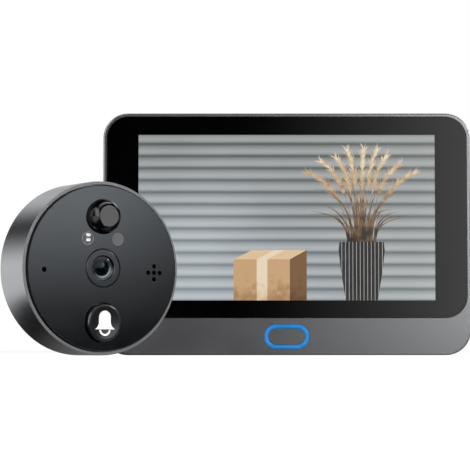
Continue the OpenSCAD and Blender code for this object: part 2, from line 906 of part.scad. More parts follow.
module door_bracket() {
    lip_z = wall + bracket_gap;
    color(steel_grey) in_monitor() difference() {
        union() {
            translate([0, bracket_y, 0])
                slab(bracket_w, bracket_h, bracket_corner, -bracket_gap - bracket_t, bracket_t);
            at_hooks() {
                translate([-hook_w / 2, -hook_stem, -bracket_gap - bracket_t])
                    cube([hook_w, hook_stem, bracket_t + bracket_gap + lip_z + hook_t]);
                translate([-hook_w / 2, -hook_stem, lip_z])
                    cube([hook_w, hook_stem + hook_rise, hook_t]);
            }
        }
        translate([0, bracket_y, -2 * bracket_t - 1])
            cylinder(h = 3 * bracket_t + 1, r = bracket_hole_d / 2);
        for (x = [-1, 1], y = [-1, 1])
            translate([x * screw_pitch_x / 2, bracket_y + y * screw_pitch_y / 2,
                    -2 * bracket_t - 1])
                cylinder(h = 3 * bracket_t + 1, r = wood_screw_d / 2);
    }
}

// Camera pieces

module camera_housing() {
    color(alloy_grey) in_camera() difference() {
        union() {
            rotate_extrude() difference() {
                polygon([[camera_inner_r, 0], [camera_r - camera_chamfer, 0], [camera_r, camera_chamfer],
                    [camera_r, camera_depth - camera_bevel],
                    [camera_r - camera_bevel, camera_depth], [camera_inner_r, camera_depth]]);
                translate([0, panel_disc_back])
                    square([camera_r - camera_rim, camera_depth]);
                translate([0, -1]) square([plate_r + plate_air, 1 + plate_front]);
            }
            at_camera_posts() translate([0, 0, plate_front + run_gap])
                cylinder(h = camera_post_h, r = camera_post_r);
        }
        at_camera_posts() cylinder(h = camera_board_back + 1, r = tiny_screw_r + bond_gap);
    }
}

module front_panel() {
    color(panel_grey) in_camera() difference() {
        translate([0, 0, panel_disc_back]) cylinder(h = panel_disc_t, r = panel_disc_r);
        cylinder(h = camera_d, r = bezel_r + run_gap);
        translate([0, motion_y, 0]) cylinder(h = camera_d, r = motion_r + run_gap);
        translate([0, bell_y, 0]) cylinder(h = camera_d, r = bell_hole_r);
        for (x = [-window_x, window_x])
            translate([x, window_y, 0]) cylinder(h = camera_d, r = window_r + bond_gap);
        translate([mic_hole_x, mic_hole_y, 0]) cylinder(h = camera_d, r = mic_hole_d / 2);
        at_speaker_holes() cylinder(h = camera_d, r = speaker_hole_d / 2);
    }
}

module motion_lens() {
    inner_r = motion_r - motion_skin;
    color(gloss_black) in_camera() translate([0, motion_y, 0]) difference() {
        union() {
            rotate_extrude() {
                translate([0, panel_disc_back])
                    square([motion_r, motion_arc_z - panel_disc_back]);
                intersection() {
                    translate([motion_arc_x, motion_arc_z]) circle(motion_shoulder);
                    translate([0, motion_arc_z]) square([camera_r, motion_top - motion_arc_z]);
                }
            }
            translate([0, 0, panel_disc_back - motion_flange_t])
                cylinder(h = motion_flange_t, r = motion_r + motion_flange);
        }
        translate([0, 0, panel_disc_back - motion_flange_t - 1])
            cylinder(h = motion_arc_z - panel_disc_back + motion_flange_t + 1, r = inner_r);
        translate([0, 0, motion_arc_z])
            cylinder(h = motion_top - motion_arc_z - motion_skin, r1 = inner_r,
                r2 = motion_flat_d / 2 - motion_flat_edge);
    }
}

module motion_sensor() {
    color(steel_grey) in_camera() translate([0, motion_y, camera_board_front]) difference() {
        union() {
            cylinder(h = motion_can_foot_t, r = motion_can_r + motion_can_foot);
            cylinder(h = motion_can_h, r = motion_can_r);
        }
        translate([0, 0, motion_can_h])
            cube([motion_eye_w, motion_eye_h, 2 * motion_eye_sink], center = true);
    }
}

module lens_bezel() {
    color(panel_grey) in_camera() rotate_extrude()
        polygon([[bezel_in_r, panel_disc_back - bezel_flange_t],
            [bezel_r + bezel_flange, panel_disc_back - bezel_flange_t],
            [bezel_r + bezel_flange, panel_disc_back], [bezel_r, panel_disc_back],
            [bezel_r, panel_disc_front], [bezel_r - bezel_edge, panel_disc_front],
            [bezel_in_r, panel_disc_front - bezel_edge]]);
}

module lens_holder() {
    color(part_black) in_camera() difference() {
        union() {
            translate([0, 0, camera_board_front + holder_h / 2])
                cube([holder_w, holder_w, holder_h], center = true);
            translate([0, 0, camera_board_front])
                cylinder(h = holder_top - camera_board_front, r = holder_neck_r);
        }
        translate([0, 0, camera_board_front - 1])
            cylinder(h = camera_d, r = barrel_r + bond_gap);
    }
}

module lens_barrel() {
    color(part_black) in_camera() difference() {
        translate([0, 0, camera_board_front + sensor_t + barrel_foot])
            cylinder(h = barrel_top - camera_board_front - sensor_t - barrel_foot, r = barrel_r);
        translate([0, 0, barrel_top - barrel_seat])
            cylinder(h = camera_d, r = lens_r + bond_gap);
        translate([0, 0, camera_board_front]) cylinder(h = camera_d, r = lens_r * barrel_bore_share);
    }
}

module lens_glass() {
    crown_r = (pow(lens_r, 2) + pow(lens_crown, 2)) / (2 * lens_crown);
    seat = barrel_top - barrel_seat;
    color("#10202c") in_camera() intersection() {
        translate([0, 0, seat]) cylinder(h = camera_d, r = lens_r);
        translate([0, 0, barrel_top + lens_crown - crown_r]) sphere(crown_r);
    }
}

module image_sensor() {
    color("#2a2f3a") in_camera() translate([0, 0, camera_board_front + sensor_t / 2])
        cube([sensor_w, sensor_w, sensor_t], center = true);
}

module small_window(x) {
    translate([x, window_y, panel_disc_back]) cylinder(h = panel_disc_t - bond_gap, r = window_r);
}

module small_lamp(x) {
    top = panel_disc_back - led_air - led_r;
    translate([x, window_y, 0]) {
        translate([0, 0, camera_board_front]) {
            cylinder(h = led_foot_h, r = led_r + led_foot);
            cylinder(h = top - camera_board_front, r = led_r);
        }
        translate([0, 0, top]) sphere(led_r);
    }
}

module lamp_window() {
    color("#c9ced2") in_camera() small_window(-window_x);
}

module sensor_window() {
    color("#7b7d80") in_camera() small_window(window_x);
}

module lamp_led() {
    color("#e8eaec") in_camera() small_lamp(-window_x);
}

module light_sensor() {
    color("#4a4c50") in_camera() small_lamp(window_x);
}

module bell_sign() {
    difference() {
        union() {
            translate([0, sign_dome_y]) circle(sign_waist);
            translate([-sign_waist, sign_brim_y])
                square([2 * sign_waist, sign_dome_y - sign_brim_y]);
            translate([-sign_brim, sign_brim_y])
                square([2 * sign_brim, sign_flare_y - sign_brim_y]);
        }
        for (x = [-1, 1])
            translate([x * (sign_waist + sign_flare), sign_flare_y]) circle(sign_flare);
    }
    difference() {
        translate([0, sign_clapper_y]) circle(sign_clapper_r);
        translate([0, sign_clapper_y]) circle(sign_clapper_in);
        translate([-sign_brim, sign_brim_y - sign_clapper_gap])
            square([2 * sign_brim, 2 * sign_brim]);
    }
}

// The ball whose underside hollows the button's face
module dish_ball(extra) {
    translate([0, 0, bell_front - bell_dish + bell_sphere_r]) sphere(bell_sphere_r + extra);
}

module sign_inlay() {
    difference() {
        intersection() {
            translate([0, 0, bell_front - bell_dish - 2 * bell_inlay_t])
                linear_extrude(bell_dish + 2 * bell_inlay_t) bell_sign();
            dish_ball(bell_inlay_t);
        }
        dish_ball(0);
    }
}

module bell_profile() {
    foot = bell_flange_top - bell_flange_t;
    translate([0, foot]) square([bell_r, bell_front - bell_edge - foot]);
    translate([0, foot]) square([bell_r - bell_edge, bell_front - foot]);
    translate([bell_r - bell_edge, bell_front - bell_edge]) circle(bell_edge);
}

module bell_button() {
    color(part_black) in_camera() translate([0, bell_y, 0]) difference() {
        union() {
            rotate_extrude() bell_profile();
            translate([0, 0, bell_flange_top - bell_flange_t])
                cylinder(h = bell_flange_t, r = bell_hole_r + bell_flange);
            translate([0, 0, bell_flange_top - bell_flange_t - bell_stem_l])
                cylinder(h = bell_stem_l + join, r = bell_stem_r);
        }
        dish_ball(0);
        sign_inlay();
    }
}

module bell_symbol() {
    color("white") in_camera() translate([0, bell_y, 0]) sign_inlay();
}

module bell_switch() {
    color(part_black) in_camera()
        translate([0, bell_y, (camera_board_front + bell_switch_top) / 2])
            cube([bell_switch_w, bell_switch_w, bell_switch_top - camera_board_front],
                center = true);
}

module camera_microphone() {
    color(steel_grey) in_camera()
        translate([mic_hole_x, mic_hole_y, panel_disc_back - capsule_h]) difference() {
            cylinder(h = capsule_h, r = capsule_r);
            translate([0, 0, capsule_h - capsule_port]) cylinder(h = 1, r = mic_hole_d / 2);
        }
}

module camera_speaker() {
    top = panel_disc_back - mesh_t;
    color(part_black) in_camera() translate([speaker_x, speaker_y, top - speaker_h]) difference() {
        union() {
            cylinder(h = speaker_h, r = speaker_r - speaker_step);
            translate([0, 0, speaker_h - speaker_rim_t]) cylinder(h = speaker_rim_t, r = speaker_r);
        }
        translate([0, 0, speaker_h - speaker_cone])
            cylinder(h = speaker_rim_t, r = speaker_r - 2 * speaker_step);
    }
}

module speaker_mesh() {
    color(steel_grey) in_camera() translate([speaker_x, speaker_y, panel_disc_back - mesh_t])
        cylinder(h = mesh_t, r = mesh_r);
}

module camera_board() {
    color(board_green) in_camera() difference() {
        translate([0, 0, camera_board_back]) cylinder(h = board_t, r = camera_board_r);
        at_camera_posts() cylinder(h = camera_d, r = tiny_screw_r + run_gap);
    }
}

module cable_connector() {
    color("#d9d4c4") in_camera()
        translate([0, connector_y, camera_board_back - connector_t / 2]) difference() {
            cube([connector_w, connector_h, connector_t], center = true);
            translate([0, -connector_h / 2, 0])
                cube([connector_w - 2 * connector_side, 2 * connector_mouth, connector_mouth_t],
                    center = true);
        }
}

module camera_board_screws() {
    color(steel_grey) in_camera() at_camera_posts() translate([0, 0, camera_board_front])
        screw(tiny_head_r, tiny_head_h, tiny_screw_r, tiny_screw_l);
}

module rear_plate() {
    color(cover_black) in_camera() difference() {
        translate([0, 0, plate_back]) cylinder(h = plate_t, r = plate_r);
        translate([0, 0, -1]) cylinder(h = plate_front + 2, r = stud_neck_r + run_gap);
        at_camera_posts() {
            translate([0, 0, -1]) cylinder(h = plate_front + 2, r = tiny_screw_r + run_gap);
            translate([0, 0, -1]) cylinder(h = 1 + plate_back + tiny_head_h,
                r = tiny_head_r + run_gap);
        }
    }
}

module rear_plate_screws() {
    color(steel_grey) in_camera() at_camera_posts()
        translate([0, 0, plate_back + tiny_head_h]) rotate([180, 0, 0])
            screw(tiny_head_r, tiny_head_h, tiny_screw_r, tiny_screw_l);
}

module fixing_stud() {
    color(brass_gold) in_camera() difference() {
        union() {
            translate([0, 0, -stud_l]) cylinder(h = stud_l + plate_front, r = stud_r);
            translate([0, 0, plate_back - nut_t])
                cylinder(h = nut_t + plate_t + stud_flange_t, r = stud_neck_r);
            translate([0, 0, plate_front]) cylinder(h = stud_flange_t, r = stud_flange_r);
        }
        translate([0, 0, -stud_l - 1]) cylinder(h = stud_l + camera_d, r = stud_bore_d / 2);
    }
}

module stud_nut() {
    color(steel_grey) in_camera() translate([0, 0, plate_back - nut_t]) difference() {
        cylinder(h = nut_t, r = nut_across / sqrt(3), $fn = 6);
        translate([0, 0, -1]) cylinder(h = nut_t + 2, r = stud_neck_r + bond_gap);
    }
}

module rear_gasket() {
    color("#2b2c2e") in_camera() translate([0, 0, plate_back - gasket_t])
        tube(gasket_out, gasket_in, gasket_t);
}

front_frame();
cover_glass();
glass_adhesive();
display_panel();
display_backlight();
home_button();
button_light_ring();
home_switch();
button_board();
main_board();
processor_shield();
wireless_module();
battery_pack();
battery_pad();
chime_speaker();
monitor_microphone();
charge_socket();
card_slot();
power_switch_base();
power_slider();
ribbon_socket();
rear_cover();
case_screws();
board_screws();
door_bracket();
camera_housing();
front_panel();
motion_lens();
motion_sensor();
lens_bezel();
lens_holder();
lens_barrel();
lens_glass();
image_sensor();
lamp_window();
lamp_led();
sensor_window();
light_sensor();
bell_button();
bell_symbol();
bell_switch();
camera_microphone();
camera_speaker();
speaker_mesh();
camera_board();
cable_connector();
camera_board_screws();
rear_plate();
rear_plate_screws();
fixing_stud();
stud_nut();
rear_gasket();
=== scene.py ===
"""Looks of a peephole door camera: the indoor monitor and the round door camera that stands in front of it.

Each new piece is modelled in millimetres in its unit's own axes, with x to the right, y up and z out of the
front, counted from the unit's back. It is then seated in the frame, which is in metres.
"""

import logging
import math
import random
from collections.abc import Callable, Iterable
from dataclasses import dataclass
from enum import Enum

import bmesh
import bpy
from mathutils import Matrix, Vector


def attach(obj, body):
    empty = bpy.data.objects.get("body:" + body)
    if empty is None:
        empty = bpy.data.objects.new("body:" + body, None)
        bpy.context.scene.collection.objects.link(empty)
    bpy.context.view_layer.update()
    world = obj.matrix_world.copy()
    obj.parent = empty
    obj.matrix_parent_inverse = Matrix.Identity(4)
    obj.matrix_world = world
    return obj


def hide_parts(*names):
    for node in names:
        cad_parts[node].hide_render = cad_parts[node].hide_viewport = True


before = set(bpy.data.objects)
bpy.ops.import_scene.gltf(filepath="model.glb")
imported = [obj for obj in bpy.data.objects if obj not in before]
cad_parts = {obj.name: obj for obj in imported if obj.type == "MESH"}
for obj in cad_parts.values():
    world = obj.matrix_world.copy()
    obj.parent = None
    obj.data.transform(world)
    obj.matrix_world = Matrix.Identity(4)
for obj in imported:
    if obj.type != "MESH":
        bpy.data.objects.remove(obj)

LOG = logging.getLogger("door_camera")
Point = tuple[float, float]
Place = tuple[float, float, float]
Colour = tuple[float, float, float]
Stops = list[tuple[float, Colour]]
Stroke = tuple[list[Point], float]
Socket = bpy.types.NodeSocket

MM = 0.001
FULL_TURN = 2 * math.pi
WELD = 0.0008
MONITOR_BACK = 8.25
CAMERA_FACE = (-57.1, -38.788, 26.5)
CAMERA_TURN = math.radians(31.5)
CAMERA_DEPTH = 16.0


def shade(red: float, green: float, blue: float) -> Colour:
    """Turns a screen colour into the scene's linear numbers.

    Args:
        red: Red, 0 to 255.
        green: Green, 0 to 255.
        blue: Blue, 0 to 255.

    Returns:
        The three linear numbers.
    """

    def linear(value: float) -> float:
        """Undoes the screen's curve for one channel."""
        part = value / 255
        return part / 12.92 if part <= 0.04045 else ((part + 0.055) / 1.055) ** 2.4

    return linear(red), linear(green), linear(blue)


def dimmed(colour: Colour, share: float) -> Colour:
    """Returns the colour with each channel times the share."""
    return colour[0] * share, colour[1] * share, colour[2] * share


class Seat(Enum):
    """The two units, whose own axes the pieces are modelled in."""

    MONITOR = "monitor"
    CAMERA = "camera"

    def matrix(self) -> Matrix:
        """Places the unit's axes in the frame, from millimetres to metres.

        Returns:
            The place, as a matrix.
        """
        upright = Matrix.Rotation(math.pi / 2, 4, "X")
        if self is Seat.MONITOR:
            return Matrix.Scale(MM, 4) @ Matrix.Translation((0, MONITOR_BACK, 0)) @ upright
        return (
            Matrix.Scale(MM, 4)
            @ Matrix.Translation(CAMERA_FACE)
            @ Matrix.Rotation(CAMERA_TURN, 4, "Z")
            @ upright
            @ Matrix.Translation((0, 0, -CAMERA_DEPTH))
        )


# Finishes


def put_value(tree: bpy.types.NodeTree, socket: Socket, value: object) -> None:
    """Links an output to the socket, or sets a plain value on it.

    Args:
        tree: The node tree.
        socket: The input.
        value: An output, or a plain value.
    """
    if isinstance(value, Socket):
        tree.links.new(value, socket)
    else:
        socket.default_value = value


def eased_number(tree: bpy.types.NodeTree, value: Socket, ends: Point, levels: Point = (0.0, 1.0)) -> Socket:
    """Eases a number from one level to another.

    Args:
        tree: The node tree.
        value: The number.
        ends: Where the change starts and where it ends.
        levels: The levels there.

    Returns:
        The eased number.
    """
    node = tree.nodes.new("ShaderNodeMapRange")
    node.interpolation_type = "SMOOTHSTEP"
    tree.links.new(value, node.inputs["Value"])
    for key, number in zip(("From Min", "From Max", "To Min", "To Max"), (*ends, *levels)):
        node.inputs[key].default_value = number
    return node.outputs["Result"]


def join_numbers(tree: bpy.types.NodeTree, operation: str, first: object, second: object) -> Socket:
    """Joins two numbers of a node tree.

    Args:
        tree: The node tree.
        operation: The operation, such as ADD or MULTIPLY.
        first: The first number, a socket or a constant.
        second: The second number, a socket or a constant.

    Returns:
        The result.
    """
    node = tree.nodes.new("ShaderNodeMath")
    node.operation = operation
    put_value(tree, node.inputs[0], first)
    put_value(tree, node.inputs[1], second)
    return node.outputs[0]


class NodeSheet:
    """A material's node tree, with a short call for each kind of node that the finishes use."""

    def __init__(self, name: str) -> None:
        """Starts a material with a Principled shader and Object coordinates.

        Args:
            name: Name of the material.
        """
        self.material = bpy.data.materials.new(name)
        self.material.use_nodes = True
        self.tree = self.material.node_tree
        self.tree.nodes.clear()
        output = self.tree.nodes.new("ShaderNodeOutputMaterial")
        self.shader = self.tree.nodes.new("ShaderNodeBsdfPrincipled")
        self.tree.links.new(self.shader.outputs["BSDF"], output.inputs["Surface"])
        self.place = self.tree.nodes.new("ShaderNodeTexCoord").outputs["Object"]

    def add(self, kind: str, **settings: object) -> bpy.types.Node:
        """Adds a node.

        Args:
            kind: The node's type, without its ShaderNode prefix.
            settings: Properties to set on it.

        Returns:
            The node.
        """
        made = self.tree.nodes.new("ShaderNode" + kind)
        for key, value in settings.items():
            setattr(made, key, value)
        return made

    def put(self, socket: Socket, value: object) -> None:
        """Links an output to the socket, or sets a plain value on it."""
        put_value(self.tree, socket, value)

    def set(self, **values: object) -> None:
        """Sets or links inputs of the shader, with underscores for the spaces in their names.

        Args:
            values: Names of inputs, and their values.
        """
        for key, value in values.items():
            if isinstance(value, tuple) and len(value) == 3:
                value = (*value, 1.0)
            self.put(self.shader.inputs[key.replace("_", " ")], value)

    def in_unit(self, seat: Seat) -> Socket:
        """Turns Object coordinates into a unit's own axes, in metres.

        Args:
            seat: The unit.

        Returns:
            The coordinates.
        """
        back = Matrix.Scale(MM, 4) @ seat.matrix().inverted()
        node = self.add("Mapping", vector_type="POINT")
        self.put(node.inputs["Vector"], self.place)
        node.inputs["Location"].default_value = back.to_translation()
        node.inputs["Rotation"].default_value = back.to_euler("XYZ")
        return node.outputs["Vector"]

    def stretched(self, vector: Socket, factors: Place) -> Socket:
        """Stretches coordinates, each axis by its factor.

        Args:
            vector: The coordinates.
            factors: A factor for each axis.

        Returns:
            The new coordinates.
        """
        node = self.add("VectorMath", operation="MULTIPLY")
        self.put(node.inputs[0], vector)
        node.inputs[1].default_value = factors
        return node.outputs["Vector"]

    def axis(self, vector: Socket, name: str) -> Socket:
        """Reads one axis, X, Y or Z, of the coordinates.

        Args:
            vector: The coordinates.
            name: The axis.

        Returns:
            The axis's number.
        """
        node = self.add("SeparateXYZ")
        self.put(node.inputs[0], vector)
        return node.outputs[name]

    def radius(self, vector: Socket, centre: Point = (0.0, 0.0)) -> Socket:
        """Returns the distance from the unit's z axis, or from a line beside it.

        Args:
            vector: Coordinates in the unit's own axes.
            centre: Where the line crosses the unit's front, in metres.

        Returns:
            The distance, in metres.
        """
        shift = self.add("VectorMath", operation="SUBTRACT")
        self.put(shift.inputs[0], vector)
        shift.inputs[1].default_value = (*centre, 0.0)
        node = self.add("VectorMath", operation="LENGTH")
        self.put(node.inputs[0], self.stretched(shift.outputs["Vector"], (1, 1, 0)))
        return node.outputs["Value"]

    def noise(
        self,
        scale: float,
        detail: float = 2.0,
        vector: Socket | None = None,
    ) -> Socket:
        """Returns soft noise of about 0 to 1.

        Args:
            scale: Waves a metre.
            detail: Octaves.
            vector: Coordinates, or None for the Object coordinates.

        Returns:
            The noise's value.
        """
        node = self.add("TexNoise")
        self.put(node.inputs["Vector"], vector or self.place)
        node.inputs["Scale"].default_value = scale
        node.inputs["Detail"].default_value = detail
        return node.outputs[0]

    def lines(self, along: Socket, scale: float, detail: float = 3.0) -> Socket:
        """Makes noise that varies along one number only, as turning marks do.

        Args:
            along: The number.
            scale: Waves a metre.
            detail: Octaves.

        Returns:
            The noise's value.
        """
        node = self.add("TexNoise", noise_dimensions="1D")
        self.put(node.inputs["W"], along)
        node.inputs["Scale"].default_value = scale
        node.inputs["Detail"].default_value = detail
        return node.outputs[0]

    def cells(self, scale: float, vector: Socket | None = None) -> Socket:
        """Measures the distance within small irregular cells.

        Args:
            scale: Cells a metre.
            vector: Coordinates, or None for the Object coordinates.

        Returns:
            The distance.
        """
        node = self.add("TexVoronoi")
        self.put(node.inputs["Vector"], vector or self.place)
        node.inputs["Scale"].default_value = scale
        return node.outputs["Distance"]

    def math(self, operation: str, first: object, second: object = 0.0) -> Socket:
        """Returns a sum, product or other operation of two numbers."""
        return join_numbers(self.tree, operation, first, second)

    def span(self, value: Socket, low: float, high: float, out: Point = (0.0, 1.0)) -> Socket:
        """Returns a value carried smoothly from one range to another.

        Args:
            value: The number to carry.
            low: Start of its range.
            high: End of its range.
            out: Start and end of the range that it goes to.

        Returns:
            The new number.
        """
        return eased_number(self.tree, value, (low, high), out)

    def ramp(self, value: Socket, stops: Stops, smooth: bool = False) -> Socket:
        """Returns a colour read off a row of colour stops.

        Args:
            value: Where to read, 0 to 1.
            stops: Places and their colours, in order.
            smooth: Whether the colours ease into each other.

        Returns:
            The colour.
        """
        node = self.add("ValToRGB")
        self.put(node.inputs["Fac"], value)
        row = node.color_ramp
        row.interpolation = "EASE" if smooth else "LINEAR"
        for index, (at, colour) in enumerate(stops):
            stop = row.elements[index] if index < 2 else row.elements.new(at)
            stop.position = at
            stop.color = (*colour, 1.0)
        return node.outputs["Color"]

    def mix(self, share: object, first: object, second: object, blend: str = "MIX") -> Socket:
        """Mixes two colours by a share.

        Args:
            share: How much of the second, 0 to 1.
            first: The first colour.
            second: The second colour.
            blend: How they are mixed.

        Returns:
            The mixed colour.
        """
        node = self.add("Mix", data_type="RGBA", blend_type=blend)
        self.put(node.inputs[0], share)
        for socket, value in ((node.inputs[6], first), (node.inputs[7], second)):
            self.put(socket, (*value, 1.0) if isinstance(value, tuple) else value)
        return node.outputs[2]

    def bump(self, height: Socket, distance: float, strength: float = 1.0) -> None:
        """Raises the surface by a height of 0 to 1 times a distance in metres.

        Args:
            height: The height.
            distance: The distance.
            strength: Share of the effect.
        """
        node = self.add("Bump")
        self.put(node.inputs["Height"], height)
        node.inputs["Distance"].default_value = distance
        node.inputs["Strength"].default_value = strength
        self.put(self.shader.inputs["Normal"], node.outputs["Normal"])


class Finish:
    """What a surface is made of. Its material is made once and then given to every piece that asks."""

    name: str

    def material(self) -> bpy.types.Material:
        """Gives the finish's material, made on the first call.

        Returns:
            The material.
        """
        found = bpy.data.materials.get(self.name)
        if found:
            return found
        sheet = NodeSheet(self.name)
        self.draw(sheet)
        return sheet.material

    def draw(self, sheet: NodeSheet) -> None:
        """Draws the finish on a node sheet."""
        raise NotImplementedError

    def cover(self, piece: bpy.types.Object) -> None:
        """Puts the finish on a piece in place of what it has.

        Args:
            piece: The piece.
        """
        made = self.material()
        if piece.material_slots:
            for place in piece.material_slots:
                place.material = made
        else:
            piece.data.materials.append(made)


@dataclass(frozen=True)
class SatinPaint(Finish):
    """Fine metallic paint: flakes a tenth of a millimetre across and a faint orange peel."""

    name: str
    colour: Colour
    metallic: float = 0.6
    roughness: float = 0.4
    flakes: float = 9000.0
    peel: float = 0.000004
    face: float = 0.0
    edge: float = 0.0
    # The sides' black is painted shade in holes and round the edge.
    side: Colour = shade(9, 9, 10)
    shaded_side_dull: float = 0.45

    def draw(self, sheet: NodeSheet) -> None:
        """Draws flakes, drifting gloss and orange peel, and black, duller sides past a given face and edge,
        as painted shade.

        Args:
            sheet: The node sheet to draw on.
        """
        flake = sheet.noise(self.flakes, 1.0)
        colour = sheet.ramp(flake, [(0.3, dimmed(self.colour, 0.93)), (0.7, dimmed(self.colour, 1.07))])
        drift = sheet.span(sheet.noise(90.0), 0.3, 0.7, (self.roughness - 0.01, self.roughness + 0.01))
        shine: object = self.metallic
        # Past the face and outside the edge the colour turns black and duller: painted shade in the holes and
        # round the edge.
        if self.face:
            unit = sheet.in_unit(Seat.CAMERA)
            ahead = sheet.span(sheet.axis(unit, "Z"), self.face - 0.16 * MM, self.face - 0.08 * MM)
            inside = sheet.span(sheet.radius(unit), self.edge + 0.03 * MM, self.edge - 0.03 * MM)
            unshaded_face = sheet.math("MULTIPLY", ahead, inside)
            colour = sheet.mix(unshaded_face, self.side, colour)
            shine = sheet.math("MULTIPLY", unshaded_face, self.metallic)
            drift = sheet.math("ADD", drift, sheet.span(unshaded_face, 0.0, 1.0, (self.shaded_side_dull, 0.0)))
        sheet.set(Base_Color=colour, Roughness=drift, Metallic=shine)
        sheet.bump(sheet.noise(1400.0, 1.0), self.peel)


@dataclass(frozen=True)
class MouldedPlastic(Finish):
    """Moulded plastic with a spark-eroded grain."""

    name: str
    colour: Colour
    roughness: float = 0.5
    grain: float = 2600.0
    depth: float = 0.00003

    def draw(self, sheet: NodeSheet) -> None:
        """Draws the grain as cells with rounded tops, and lets its hollows be darker and duller.

        Args:
            sheet: The node sheet to draw on.
        """
        cell = sheet.cells(self.grain)
        colour = sheet.ramp(cell, [(0.0, dimmed(self.colour, 1.12)), (0.7, dimmed(self.colour, 0.86))])
        dull = sheet.span(sheet.noise(150.0), 0.3, 0.7, (self.roughness - 0.05, self.roughness + 0.05))
        sheet.set(Base_Color=colour, Roughness=dull)
        sheet.bump(sheet.math("SUBTRACT", 1.0, cell), self.depth)


@dataclass(frozen=True)
class GlossShell(Finish):
    """Polished plastic or printed glass, with the faint smears that handling leaves."""

    name: str
    colour: Colour
    roughness: float = 0.12
    smear: float = 0.03
    ripple: float = 0.000001
    index: float = 1.5
    skirt: float = 0.0
    skirt_dull: float = 0.6

    def draw(self, sheet: NodeSheet) -> None:
        """Draws the smears in the gloss, a barely visible ripple, and a satin skirt below a given depth.

        Args:
            sheet: The node sheet to draw on.
        """
        smear = sheet.noise(60.0, 4.0, sheet.stretched(sheet.place, (1.0, 1.0, 2.2)))
        colour = sheet.ramp(smear, [(0.35, dimmed(self.colour, 0.9)), (0.7, dimmed(self.colour, 1.15))])
        gloss = sheet.span(smear, 0.3, 0.75, (self.roughness, self.roughness + self.smear))
        if self.skirt:
            height = sheet.axis(sheet.in_unit(Seat.CAMERA), "Z")
            low, high = self.skirt - 0.3 * MM, self.skirt + 0.3 * MM
            gloss = sheet.math("ADD", gloss, sheet.span(height, high, low, (0.0, self.skirt_dull)))
        sheet.set(Base_Color=colour, Roughness=gloss, IOR=self.index)
        sheet.bump(sheet.noise(120.0, 1.0), self.ripple)


@dataclass(frozen=True)
class TurnedMetal(Finish):
    """Metal turned on a lathe about the camera's axis, then bead-blasted to a satin."""

    name: str
    colour: Colour
    roughness: float = 0.3
    marks: float = 5200.0
    depth: float = 0.000002
    rim: float = 0.0
    rim_tones: tuple[Colour, Colour] = (shade(152, 153, 156), shade(166, 167, 170))
    rim_dull: float = 0.3

    def draw(self, sheet: NodeSheet) -> None:
        """Draws turning marks under a fine blasted grain, and a matte rim ahead of a given depth.

        Args:
            sheet: The node sheet to draw on.
        """
        unit = sheet.in_unit(Seat.CAMERA)
        mark = sheet.lines(sheet.math("ADD", sheet.radius(unit), sheet.axis(unit, "Z")), self.marks)
        blast = sheet.noise(7000.0, 1.0)
        height = sheet.math("ADD", sheet.math("MULTIPLY", mark, 0.6), blast)
        colour = sheet.ramp(mark, [(0.25, dimmed(self.colour, 0.93)), (0.75, dimmed(self.colour, 1.06))])
        gloss = sheet.span(mark, 0.25, 0.75, (self.roughness - 0.03, self.roughness + 0.03))
        shine: object = 1.0
        if self.rim:
            satin = sheet.span(sheet.axis(unit, "Z"), self.rim + 0.04 * MM, self.rim)
            matte = sheet.ramp(blast, [(0.3, self.rim_tones[0]), (0.7, self.rim_tones[1])])
            colour = sheet.mix(satin, matte, colour)
            gloss = sheet.math("ADD", gloss, sheet.span(satin, 0.0, 1.0, (self.rim_dull, 0.0)))
            shine = satin
        sheet.set(Base_Color=colour, Roughness=gloss, Metallic=shine)
        sheet.bump(height, self.depth)


@dataclass(frozen=True)
class BrushedSteel(Finish):
    """Sheet steel with a brushed grain along x."""

    name: str
    colour: Colour
    roughness: float = 0.34
    depth: float = 0.000003

    def draw(self, sheet: NodeSheet) -> None:
        """Draws the brush strokes as noise stretched along x, with a slow cloud over them.

        Args:
            sheet: The node sheet to draw on.
        """
        stroke = sheet.noise(5000.0, 3.0, sheet.stretched(sheet.place, (0.02, 1.0, 1.0)))
        cloud = sheet.noise(45.0, 3.0)
        tone = sheet.ramp(stroke, [(0.3, dimmed(self.colour, 0.88)), (0.7, dimmed(self.colour, 1.08))])
        colour = sheet.mix(sheet.span(cloud, 0.35, 0.75, (0.0, 0.25)), tone, dimmed(self.colour, 0.8))
        gloss = sheet.span(stroke, 0.25, 0.75, (self.roughness - 0.06, self.roughness + 0.06))
        sheet.set(Base_Color=colour, Roughness=gloss, Metallic=1.0)
        sheet.bump(stroke, self.depth)


@dataclass(frozen=True)
class CircuitBoard(Finish):
    """Green board: copper tracks under the solder mask, with bare pads here and there."""

    name: str
    mask: Colour = shade(22, 84, 52)
    track: Colour = shade(44, 124, 78)
    pad: Colour = shade(196, 168, 96)

    def draw(self, sheet: NodeSheet) -> None:
        """Draws the tracks as a wandering weave, and the pads as the middles of large cells.

        Args:
            sheet: The node sheet to draw on.
        """
        wander = sheet.add("TexWave", wave_type="BANDS", bands_direction="DIAGONAL")
        sheet.put(wander.inputs["Vector"], sheet.place)
        for key, number in (("Scale", 190.0), ("Distortion", 7.0), ("Detail", 2.0), ("Detail Scale", 2.2)):
            wander.inputs[key].default_value = number
        track = sheet.span(wander.outputs["Fac"], 0.62, 0.72)
        pads = sheet.span(sheet.cells(330.0), 0.2, 0.16)
        colour = sheet.mix(pads, sheet.mix(track, self.mask, self.track), self.pad)
        sheet.set(Base_Color=colour, Roughness=sheet.span(pads, 0.0, 1.0, (0.42, 0.28)))
        sheet.bump(sheet.math("ADD", track, pads), 0.00003)


